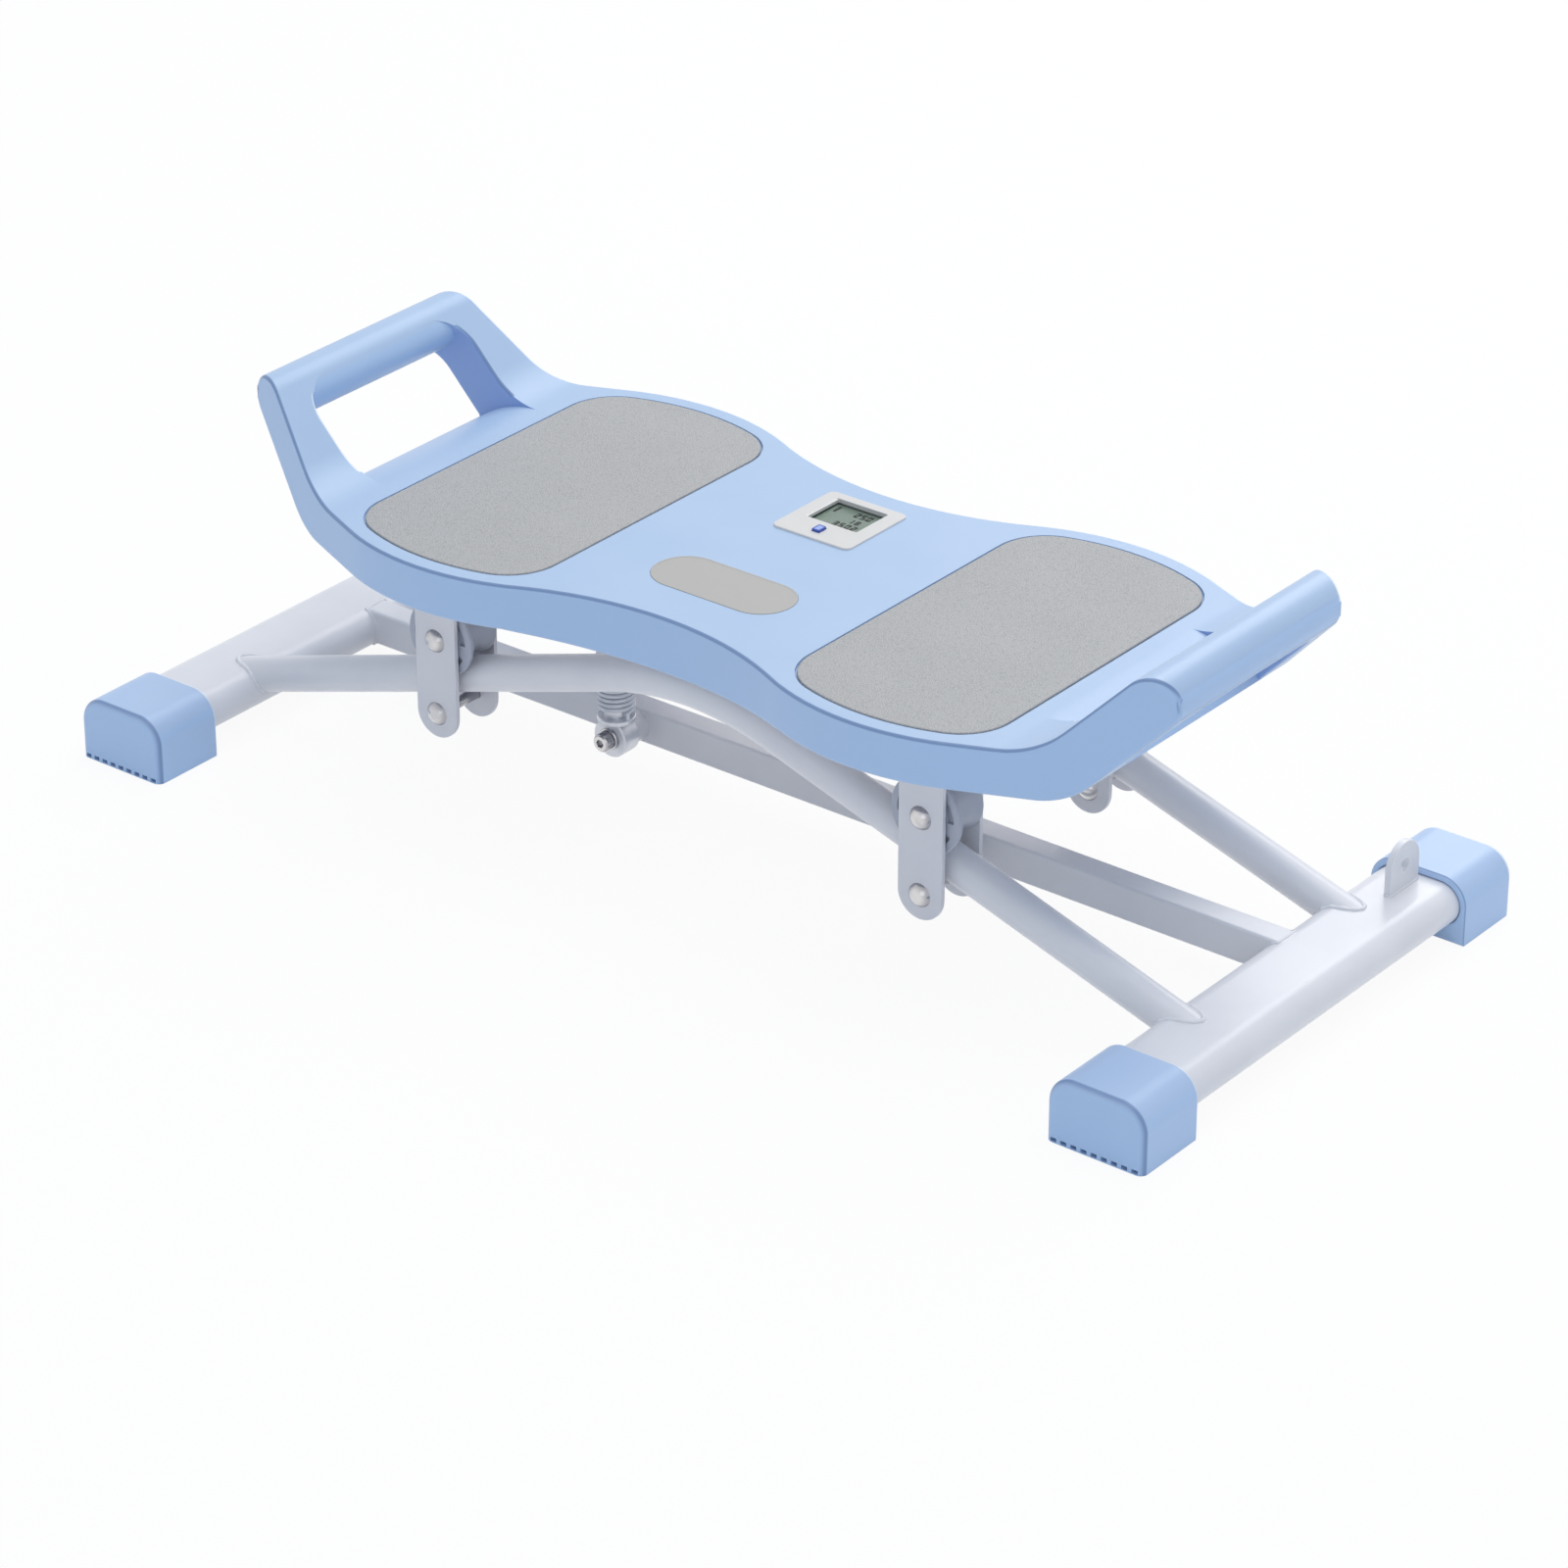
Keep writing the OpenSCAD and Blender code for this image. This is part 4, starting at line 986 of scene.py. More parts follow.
@dataclass
class Chassis:
    """The fixed frame: crossbars, rails, beam and band lugs, with their welds."""

    crossbar_x: float = 410.6
    crossbar_w: float = 64
    crossbar_h: float = 30
    crossbar_mid: float = 26.7
    crossbar_half: float = 205.8
    wall: float = 2
    rail_y: float = 91.1
    rail_r: float = 12.7
    rail_bead: float = 1.7
    leg_slope: float = 17.5
    bend_r: float = 225
    apex_z: float = 145.988
    leg_l: float = 359.58
    beam_y: float = 30.5
    beam_w: float = 20
    beam_h: float = 25.7
    beam_overlap: float = 14
    beam_corner: float = 2.2
    beam_bead: float = 1.3
    lug_y: float = 131
    lug_w: float = 34
    lug_t: float = 5
    lug_rise: float = 16.8
    lug_hole: float = 9.5
    lug_bead: float = 1.1

    @property
    def top(self) -> float:
        """Height of the crossbars' upper side."""
        return self.crossbar_mid + self.crossbar_h / 2

    @property
    def flat(self) -> float:
        """Half the width of the crossbars' flat upper side."""
        return (self.crossbar_w - self.crossbar_h) / 2

    def oval(self, grow: float, centre: Point) -> List[Point]:
        """Outline of the flat-oval tube, grown by a distance.

        Args:
            grow: The distance.
            centre: The tube's middle, seen from the front.

        Returns:
            The outline.
        """
        r = self.crossbar_h / 2 + grow
        return (arc((centre[0] + self.flat, centre[1]), r, -90, 90, 24)
                + arc((centre[0] - self.flat, centre[1]), r, 90, 270, 24))

    def crossbar(self, side: Side) -> None:
        """A flat-oval tube, eased at its open ends.

        Args:
            side: Which crossbar.
        """
        centre, half = (side.value * self.crossbar_x, self.crossbar_mid), self.crossbar_half
        form = Form.slab(self.oval(0, centre), Axis.Y, -half, half)
        form.cut(Form.slab(self.oval(-self.wall, centre), Axis.Y, -half - 1, half + 1))
        cover(form.eased(0.5), f"{side.tag}_crossbar", "tube", FRAME_WHITE)

    def leg_point(self, along: float, end: End) -> Vector:
        """A point on a right leg's centre line, so far from the end of the bend.

        Args:
            along: Distance from the end of the bend.
            end: Which rail.

        Returns:
            The point.
        """
        a = math.radians(self.leg_slope)
        bnut_end = self.apex_z - self.bend_r
        return Vector((self.bend_r * math.sin(a) + along * math.cos(a), end.value * self.rail_y,
                       bnut_end + self.bend_r * math.cos(a) - along * math.sin(a)))

    def leg(self, bm: bmesh.types.BMesh, edges: Sequence[object], run: Vector) -> List[object]:
        """Draws a straight leg out of a ring of edges, and gives the ring at its other end.

        Args:
            bm: The mesh that the rail is drawn in.
            edges: The ring that the leg begins at.
            run: Direction of the leg.

        Returns:
            Points and edges of the ring at its other end.
        """
        grown = bmesh.ops.extrude_edge_only(bm, edges=edges)["geom"]
        bmesh.ops.translate(bm, verts=only(grown, bmesh.types.BMVert), vec=run * self.leg_l)
        return only(grown, bmesh.types.BMVert, bmesh.types.BMEdge)

    def rail(self, end: End) -> None:
        """One bent tube, drawn up the left leg, round the bend and down the right leg.

        Args:
            end: Which rail.
        """
        a = math.radians(self.leg_slope)
        form = Form()
        bm = form.bm
        start = self.leg_point(self.leg_l, end)
        start.x = -start.x
        turn = Matrix.Translation(start) @ Matrix.Rotation(math.pi / 2 - a, 4, "Y")
        bmesh.ops.create_circle(bm, cap_ends=False, radius=self.rail_r, segments=48, matrix=turn)
        loop = self.leg(bm, list(bm.edges), Vector((math.cos(a), 0, math.sin(a))))
        bend = bmesh.ops.spin(
            bm, geom=loop, cent=(0, start.y, self.apex_z - self.bend_r), axis=(0, 1, 0),
            dvec=(0, 0, 0), angle=2 * a, steps=28, use_merge=False, use_duplicate=False,
        )["geom_last"]
        self.leg(bm, only(bend, bmesh.types.BMEdge), Vector((math.cos(a), 0, -math.sin(a))))
        bmesh.ops.holes_fill(bm, edges=bm.edges, sides=0)
        cover(form.tidied(0.001), f"{end.tag}_rail", "tube", FRAME_WHITE)

    def entry(self, end: End, rim: Vector) -> Vector:
        """Where a line beside a right leg's centre line runs into the crossbar, by halving.

        Args:
            end: Which rail.
            rim: The line's offset from the centre line.

        Returns:
            The point where it enters.
        """
        low, high = 250.0, self.leg_l
        for _ in range(24):
            half = (low + high) / 2
            spot = self.leg_point(half, end) + rim
            dx = max(abs(spot.x - self.crossbar_x) - self.flat, 0)
            inside = math.hypot(dx, spot.z - self.crossbar_mid) < self.crossbar_h / 2
            low, high = (low, half) if inside else (half, high)
        return self.leg_point(low, end) + rim

    def rail_weld(self, side: Side, end: End) -> None:
        """The weld bead where a leg runs into the crossbar's rounded side.

        Args:
            side: Which leg of the rail.
            end: Which rail.
        """
        a = math.radians(self.leg_slope)
        up, across = Vector((math.sin(a), 0, math.cos(a))), Vector((0, 1, 0))
        points: List[Vector] = []
        steps = 96
        for k in range(steps):
            angle = math.tau * k / steps
            spot = self.entry(end, self.rail_r * (math.cos(angle) * across + math.sin(angle) * up))
            points.append(Vector((side.value * spot.x, spot.y, spot.z)))
        form = tube(points, self.rail_bead, True, 4,
                    lambda i: 1 + 0.12 * math.sin(i * math.tau / 4.8))
        settle(form, f"{end.tag}_{side.tag}_rail_weld", FRAME_WHITE, f"{side.tag}_crossbar")

    def beam(self) -> None:
        """The rectangular tube between the crossbars, with rolled corners."""
        reach, half = self.crossbar_x - self.crossbar_w / 2 + self.beam_overlap, self.beam_w / 2
        form = Form.block((-reach, self.beam_y - half, self.top - self.beam_h),
                          (reach, self.beam_y + half, self.top - 0.05))
        form.eased(self.beam_corner, 4,
                   where=lambda e: abs(e.verts[0].co.x - e.verts[1].co.x) > 10)
        cover(form, "centre_beam", "tube", FRAME_WHITE)
        for side in Side:
            self.beam_weld(side)

    def beam_weld(self, side: Side) -> None:
        """The bead round the beam's coped end: up one side, across, down the other and across.

        Args:
            side: Which end of the beam.
        """
        points: List[Vector] = []
        middle = self.crossbar_x - self.flat
        low, rise = self.top - self.beam_h, self.beam_h - 0.6
        heights = [low + rise * i / 12 for i in range(13)]
        for y, order in ((-1, heights), (1, heights[::-1])):
            for z in order:
                rest = (self.crossbar_h / 2) ** 2 - (z - self.crossbar_mid) ** 2
                x = middle - math.sqrt(max(rest, 0))
                points.append(Vector((side.value * x, self.beam_y + y * self.beam_w / 2, z)))
            last = points[-1]
            for t in (1, 2, 3):
                across = self.beam_y + y * (self.beam_w / 2 - t * self.beam_w / 4)
                points.append(Vector((last.x, across, last.z)))
        form = tube(points, self.beam_bead, True, 3, lambda i: 1 + 0.1 * math.sin(i * 1.9))
        settle(form, f"{side.tag}_beam_weld", FRAME_WHITE, f"{side.tag}_crossbar")

    def lug(self, side: Side) -> None:
        """A rounded plate with its hole, and the fillet weld at its foot.

        Args:
            side: Which crossbar.
        """
        x, half = side.value * self.crossbar_x, self.lug_w / 2
        hole = (self.lug_y, self.top + self.lug_rise)
        outline = [(self.lug_y + half, self.top)] + arc(hole, half, 0, 180, 32)
        outline.append((self.lug_y - half, self.top))
        form = Form.slab(outline, Axis.X, x - self.lug_t / 2, x + self.lug_t / 2)
        form.cut(Form.slab(ring(hole, self.lug_hole / 2, 24), Axis.X, x - 10, x + 10))
        name = f"{side.tag}_band_lug"
        cover(form.eased(0.7, 3), name, "plate", FRAME_WHITE)
        foot = rounded_box(self.lug_t, self.lug_w, self.lug_t / 2 - 0.01, (x, self.lug_y), 6)
        weld = tube([Vector((a, b, self.top + 0.2)) for a, b in foot], self.lug_bead, True)
        settle(weld, name + "_weld", FRAME_WHITE, name)

    def build(self) -> None:
        """Makes every piece of the frame."""
        for side in Side:
            self.crossbar(side)
            self.lug(side)
            for end in End:
                self.rail_weld(side, end)
        for end in End:
            self.rail(end)
        self.beam()


@dataclass
class EndCap:
    """A moulded cap on a crossbar's end, with grip notches under its outer face.

    Attributes:
        mouth_r: Rounding of the end that the crossbar runs into.
        notch: Width, lower and upper height, and depth of a notch.
    """

    chassis: Chassis
    width: float = 73.2
    length: float = 58.2
    height: float = 46.8
    wall: float = 4
    depth: float = 210
    top_r: float = 19
    rim_r: float = 5.5
    mouth_r: float = 1.6
    notches: int = 9
    pitch: float = 7.6
    notch: Tuple[float, float, float, float] = (4.8, 0.7, 3.6, 14)

    def rim_edge(self, edge: bmesh.types.BMEdge) -> bool:
        """Whether an edge bounds the outer face, apart from the sole."""
        past = all(v.co.y > self.depth - 0.1 for v in edge.verts)
        return past and max(v.co.z for v in edge.verts) > 0.1

    def form(self) -> Form:
        """The rear cap of a crossbar at X nought.

        Returns:
            The cap, which the other three are mirrored from.
        """
        w, mouth, r = self.width / 2, self.depth - self.length, self.top_r
        face = [(w, 0)] + arc((w - r, self.height - r), r, 0, 90, 24)
        face += arc((r - w, self.height - r), r, 90, 180, 24) + [(-w, 0)]
        form = Form.slab(face, Axis.Y, mouth, self.depth)
        form.eased(self.rim_r, 7, clamp=False, where=self.rim_edge)
        form.cut(Form.block((-w, mouth, -5), (w, self.depth + 5, 0)))
        oval = self.chassis.oval(0.2, (0, self.chassis.crossbar_mid))
        form.cut(Form.slab(oval, Axis.Y, mouth - 1, self.depth - self.wall))
        form.eased(self.mouth_r, 4, 55, False, lambda e: all(v.co.y < mouth + 0.1 for v in e.verts))
        wide, low, high, deep = self.notch
        row = Form()
        for i in range(self.notches):
            x = (i - (self.notches - 1) / 2) * self.pitch
            pocket = rounded_box(wide, high - low, 0.8, (x, (low + high) / 2), 4)
            row.take_in(Form.slab(pocket, Axis.Y, self.depth - deep, self.depth + 1))
        return form.cut(row)

    def build(self) -> None:
        """Makes the four caps from one form."""
        master = self.form()
        for side, end in CORNERS:
            form = master.mirrored(y=end is End.FRONT).moved(beside(side, self.chassis.crossbar_x))
            cover(form, f"{end.tag}_{side.tag}_cap", "shell", CAP_BLUE, 40)


@dataclass
class Trolley:
    """What carries the deck on the rails: brackets, rollers, axle and keeper bolts.

    Attributes:
        waist_r: Radius of a roller's barrel at its waist; barrel_r is that of its ends.
        pocket: Angle, inner and outer radius, and depth of a pocket in a roller's flange.
    """

    bracket_x: float = 203.7
    width: float = 35
    plate: float = 3.5
    fold: float = 2.5
    outer_y: float = 113.3
    inner_y: float = 70
    top: float = 176
    axle_z: float = 125.5
    axle_rise: float = 0.9
    keeper_z: float = 70.8
    bolt_r: float = 4
    head_r: float = 8.4
    head_h: float = 5
    nut_flats: float = 13
    nut_h: float = 6.5
    rail_y: float = 91.1
    waist_r: float = 18.3
    barrel_r: float = 23
    hollow_r: float = 34
    flange_r: float = 27.5
    flange_t: float = 3.9
    flange_edge: float = 1.2
    roller_w: float = 29
    sleeve_r: float = 6
    pockets: int = 5
    pocket: Tuple[float, float, float, float] = (44, 17, 22.2, 2.6)

    def axle_height(self, side: Side) -> float:
        """Height of a side's axle bolts."""
        return self.axle_z + (self.axle_rise if side is Side.RIGHT else 0)

    def bracket(self, side: Side, end: End) -> None:
        """A folded U of plate: round feet, an outer fold radius, and its two pairs of holes.

        Args:
            side: Left or right.
            end: Front or rear.
        """
        half, fold, low = self.width / 2, self.fold, 40
        inner, outer, top, plate = self.inner_y, self.outer_y, self.top, self.plate
        channel = [(inner, low), (inner + plate, low), (inner + plate, top - plate),
                   (outer - plate, top - plate), (outer - plate, low), (outer, low)]
        channel += arc((outer - fold, top - fold), fold, 0, 90, 6)
        channel += arc((inner + fold, top - fold), fold, 90, 180, 6)
        form = Form.slab(channel, Axis.X, -half, half)
        face = arc((0, self.keeper_z), half, 180, 360, 36) + [(half, top + 1), (-half, top + 1)]
        form.cut(Form.slab(face, Axis.Y, inner - 1, outer + 1), Cut.KEEP)
        for z in (self.keeper_z, self.axle_height(side)):
            hole = ring((0, z), self.bolt_r + 0.05, 32)
            form.cut(Form.slab(hole, Axis.Y, inner - 5, outer + 5))
        form = form.eased(0.45, 2, 60).mirrored(y=end is End.FRONT)
        name = f"{end.tag}_{side.tag}_bracket"
        cover(form.moved(beside(side, self.bracket_x)), name, "fold", BRACKET_GREY)

    def roller_form(self) -> Form:
        """The rear roller at X and Z nought: a hollow barrel, and a flange with curved pockets.

        Returns:
            The roller, which the other three are mirrored from.
        """
        space = self.outer_y - self.inner_y - 2 * self.plate - self.roller_w - self.flange_t
        flange = self.outer_y - self.plate - 0.45 * space
        outer = flange - self.flange_t
        inner = outer - self.roller_w
        bore, edge = self.sleeve_r + 0.05, self.flange_edge
        shape: List[Point] = [(bore, inner + 0.5), (bore + 0.5, inner)]
        for i in range(29):
            y = inner + (outer - inner) * i / 28
            dip = math.sqrt(self.hollow_r ** 2 - (y - self.rail_y) ** 2)
            r = min(self.waist_r + self.hollow_r - dip, self.barrel_r)
            shape.append((r - (0.6 if i == 0 else 0), y))
        shape += [(self.flange_r - edge, outer)]
        shape += arc((self.flange_r - edge, outer + edge), edge, -80, 0, 5)
        shape += arc((self.flange_r - edge, flange - edge), edge, 0, 90, 5)
        shape += [(bore + 3.5, flange), (bore + 3.1, flange - 0.4), (bore + 0.4, flange - 0.4),
                  (bore, flange - 0.8)]
        form = Form.lathe(shape, Axis.Y, 96)
        span, near, far, deep = self.pocket
        for i in range(self.pockets):
            a = 360 * i / self.pockets
            sector = arc((0, 0), far, a, a + span, 14) + arc((0, 0), near, a + span, a, 12)
            form.cut(Form.slab(sector, Axis.Y, flange - deep, flange + 1))
        return form.eased(0.25, 2, 60, False, beyond(Axis.Y, flange - 0.05))

    def faces(self, end: End) -> Point:
        """Front and back of an end's bracket."""
        return (-self.outer_y, -self.inner_y) if end is End.FRONT else (self.inner_y, self.outer_y)

    def domed_bolt(self, end: End) -> Form:
        """A bolt along Y with a domed head in front, and a thread that shows beyond the nut.

        Args:
            end: The bracket that it goes through.

        Returns:
            The bolt at X and Z nought.
        """
        front, back = self.faces(end)
        dome = (self.head_r ** 2 + self.head_h ** 2) / (2 * self.head_h)
        sweep = math.degrees(math.asin(self.head_r / dome))
        head = [(r, front - h) for h, r in arc((self.head_h - dome, 0), dome, 0, sweep, 14)]
        head += [(self.head_r - 0.3, front), (self.bolt_r, front)]
        nut_end = back + self.nut_h
        tail = [(self.bolt_r, nut_end - 1)]
        for i in range(4):
            tail += [(self.bolt_r - 0.45, nut_end - 0.6 + 0.7 * i),
                     (self.bolt_r, nut_end - 0.25 + 0.7 * i)]
        tip = nut_end + self.bolt_r / 2
        return Form.lathe(head + tail + [(self.bolt_r - 0.7, tip), (0, tip)], Axis.Y, 40)

    def nut(self, end: End) -> Form:
        """A hexagon nut behind a plate, chamfered at both faces.

        Args:
            end: The bracket that it is screwed to.

        Returns:
            The nut at X and Z nought.
        """
        low = self.faces(end)[1]
        high = low + self.nut_h
        circle = self.nut_flats / 2 / math.cos(math.radians(30))
        form = Form.slab(ring((0, 0), circle, 6), Axis.Y, low, high)
        near = self.nut_flats / 2 * 1.01
        cone = [(0, low), (near, low), (near + 2, low + 1.2), (near + 2, high - 1.2), (near, high),
                (0, high)]
        form.cut(Form.lathe(cone, Axis.Y), Cut.KEEP)
        return form.cut(Form.slab(ring((0, 0), self.bolt_r + 0.1, 24), Axis.Y, low - 1, high + 1))

    def fasteners(self) -> None:
        """Axle and keeper bolts with their nuts, each set as one piece."""
        rows = {f"{side.tag}_axle": [(side, end, self.axle_height(side)) for end in End]
                for side in Side}
        rows["keeper"] = [(side, end, self.keeper_z) for side, end in CORNERS]
        for row, spots in rows.items():
            for kind, make in (("bolts", self.domed_bolt), ("nuts", self.nut)):
                whole = Form()
                for side, end, z in spots:
                    whole.take_in(make(end).moved(beside(side, self.bracket_x, z)))
                cover(whole, f"{row}_{kind}", "turned", CHROME, 35)

    def build(self) -> None:
        """Makes brackets, rollers and fasteners."""
        master = self.roller_form()
        for side, end in CORNERS:
            self.bracket(side, end)
            form = master.mirrored(y=end is End.FRONT)
            form.moved(beside(side, self.bracket_x, self.axle_height(side)))
            cover(form, f"{end.tag}_{side.tag}_roller", "wheel", ROLLER_GREY, 35)
        self.fasteners()
        dress(SLEEVE, "left_axle_sleeves", "right_axle_sleeves")
        dress(ZINC, "bracket_bolts", "bracket_nuts")


@dataclass
class ReturnSpring:
    """A close-wound spring with its two plugged eyes.

    Attributes:
        low_z: Height of the lower eye, whose radius is low_r.
        collar: How far the collar stands off the eye, and its thickness.
        head: Radius and height of the lower eye's bolt head.
    """

    side: Side
    x: float = 141
    outer_r: float = 13.5
    wire_r: float = 1.5
    turns: int = 25
    turn_steps: int = 28
    low_z: float = 29
    high_z: float = 158
    low_r: float = 14
    high_r: float = 11.5
    eye_w: float = 16
    plug_r: float = 8.6
    plug_l: float = 15
    collar: Point = (2, 4)
    bolt_r: float = 4
    head: Point = (6.5, 8)

    def coil(self) -> None:
        """The wire: both ends turn square onto their collars."""
        wire, radius = 2 * self.wire_r, self.outer_r - self.wire_r
        bend = 0.75 * wire
        low = self.low_z + self.low_r + self.collar[0]
        high = self.high_z - self.high_r - self.collar[0]
        start, stop = low + wire + bend, high - wire - bend
        pitch = (stop - start) / self.turns
        turn = [(bend * math.cos(t), bend * math.sin(t)) for t in (0, 0.4, 0.8, 1.2)]
        points = [Vector((radius, -bend, low))]
        points += [Vector((radius, -back, low + wire + rise)) for back, rise in turn]
        for i in range(self.turns * self.turn_steps + 1):
            a = math.tau * i / self.turn_steps
            height = start + pitch * i / self.turn_steps
            points.append(Vector((radius * math.cos(a), radius * math.sin(a), height)))
        points += [Vector((radius, back, high - wire - rise)) for back, rise in turn[::-1]]
        points.append(Vector((radius, bend, high)))
        form = tube(points, self.wire_r, False).moved(beside(self.side, self.x))
        cover(form, f"{self.side.tag}_spring", "coil", SPRING)

    def eye(self, radius: float, upside: bool) -> Form:
        """An eye across Y with its collar and plug, which points down from the upper eye.

        Args:
            radius: Outer radius of the eye.
            upside: Whether it is the upper eye.

        Returns:
            The eye in its place.
        """
        seat, half, bore, r = radius + self.collar[0], self.eye_w / 2, self.bolt_r, self.outer_r
        barrel = [(bore, 0.6 - half), (bore + 0.8, -half), (radius - 1, -half), (radius, 1 - half),
                  (radius, half - 1), (radius - 1, half), (bore + 0.8, half), (bore, half - 0.6)]
        low, plug, tip = seat - self.collar[1], self.plug_r, seat + self.plug_l
        stem = [(0, bore + 1.5), (plug, bore + 1.5), (plug, low), (r - 0.7, low), (r, low + 0.7),
                (r, seat - 0.7), (r - 0.7, seat), (plug, seat), (plug, tip - 1), (plug - 1, tip),
                (0, tip)]
        form = Form.lathe(barrel, Axis.Y, 56).cut(Form.lathe(stem, Axis.Z, 56), Cut.JOIN)
        if upside:
            form.moved(Matrix.Diagonal((1, 1, -1, 1)))
        return form.moved(beside(self.side, self.x, self.high_z if upside else self.low_z))

    def build(self) -> None:
        """Makes the coil and its two eyes."""
        self.coil()
        tag = self.side.tag
        for kind, node, radius in (("lower", "eye", self.low_r), ("upper", "top", self.high_r)):
            node = f"{tag}_spring_{node}"
            form = self.eye(radius, kind == "upper")
            settle(form, f"{tag}_{kind}_eye", ZINC, node, [node], 35)


@dataclass
class SpringFixings:
    """The socket bolts, ribbed washers and bosses at both lower eyes.

    Attributes:
        beam_front: Where the beam's front face lies.
        mount_r: Radius of a boss.
        washer: Radius and thickness of a washer.
    """

    spring: ReturnSpring
    beam_front: float = 20.5
    mount_r: float = 11.6
    washer: Point = (8, 2)

    def bolt(self) -> Form:
        """A socket head bolt along Y with a knurled head and a hexagon socket.

        Returns:
            The bolt, with the eye's middle at X and Z nought.
        """
        head_r, head_h = self.spring.head
        seat = -self.spring.eye_w / 2 - 0.2 - self.washer[1]
        top, rim = seat - head_h, seat - head_h + 1.02
        teeth: List[Point] = []
        for k in range(64):
            r, a = head_r - (0.35 if k % 2 else 0), math.tau * k / 64
            teeth.append((r * math.cos(a), r * math.sin(a)))
        form = Form.slab(teeth, Axis.Y, top + 1, seat)
        crown = [(0, top), (head_r - 1.2, top), (head_r - 0.2, rim), (0, rim)]
        form.cut(Form.lathe(crown, Axis.Y), Cut.JOIN)
        form.cut(Form.slab(ring((0, 0), head_r / 2, 6), Axis.Y, top - 1, seat - head_h / 2))
        low, high, shank_r = seat - 0.5, self.beam_front, self.spring.bolt_r
        shank = [(0, low), (shank_r, low), (shank_r, high), (0, high)]
        return form.cut(Form.lathe(shank, Axis.Y, 32), Cut.JOIN)

    def ribbed_washer(self) -> Form:
        """A washer with two raised rings on its face.

        Returns:
            The washer, with the eye's middle at X and Z nought.
        """
        r, t = self.washer
        back, bore = -self.spring.eye_w / 2 - 0.2, self.spring.bolt_r + 0.05
        face = back - t
        shape = [(bore, back), (bore, face), (r - 2.6, face), (r - 2.2, face + 0.5),
                 (r - 1.6, face + 0.5), (r - 1.3, face + 0.1), (r - 0.5, face + 0.1),
                 (r, face + 0.6), (r, back - 0.3), (r - 0.3, back)]
        return Form.lathe(shape, Axis.Y)

    def boss(self) -> Form:
        """The boss that carries a lower eye on the beam.

        Returns:
            The boss, with the eye's middle at X and Z nought.
        """
        front, back = self.spring.eye_w / 2 + 0.2, self.beam_front
        bore, r = self.spring.bolt_r + 0.05, self.mount_r
        shape = [(bore, front + 0.4), (bore + 0.4, front), (r - 0.8, front), (r, front + 0.8),
                 (r, back), (bore, back)]
        return Form.lathe(shape, Axis.Y, 56)

    def build(self) -> None:
        """Makes the fixings of both sides."""
        places = {side: beside(side, self.spring.x, self.spring.low_z) for side in Side}
        for name, make in (("spring_bolts", self.bolt), ("spring_washers", self.ribbed_washer)):
            whole = Form()
            for place in places.values():
                whole.take_in(make().moved(place))
            cover(whole, name, "set", CHROME, 35)
        for side, place in places.items():
            form = self.boss().moved(place)
            cover(form, f"{side.tag}_spring_mount", "boss", FRAME_WHITE, 35)
        dress(BRACKET_GREY, "left_clevis", "right_clevis")
        dress(ZINC, "spring_pins")


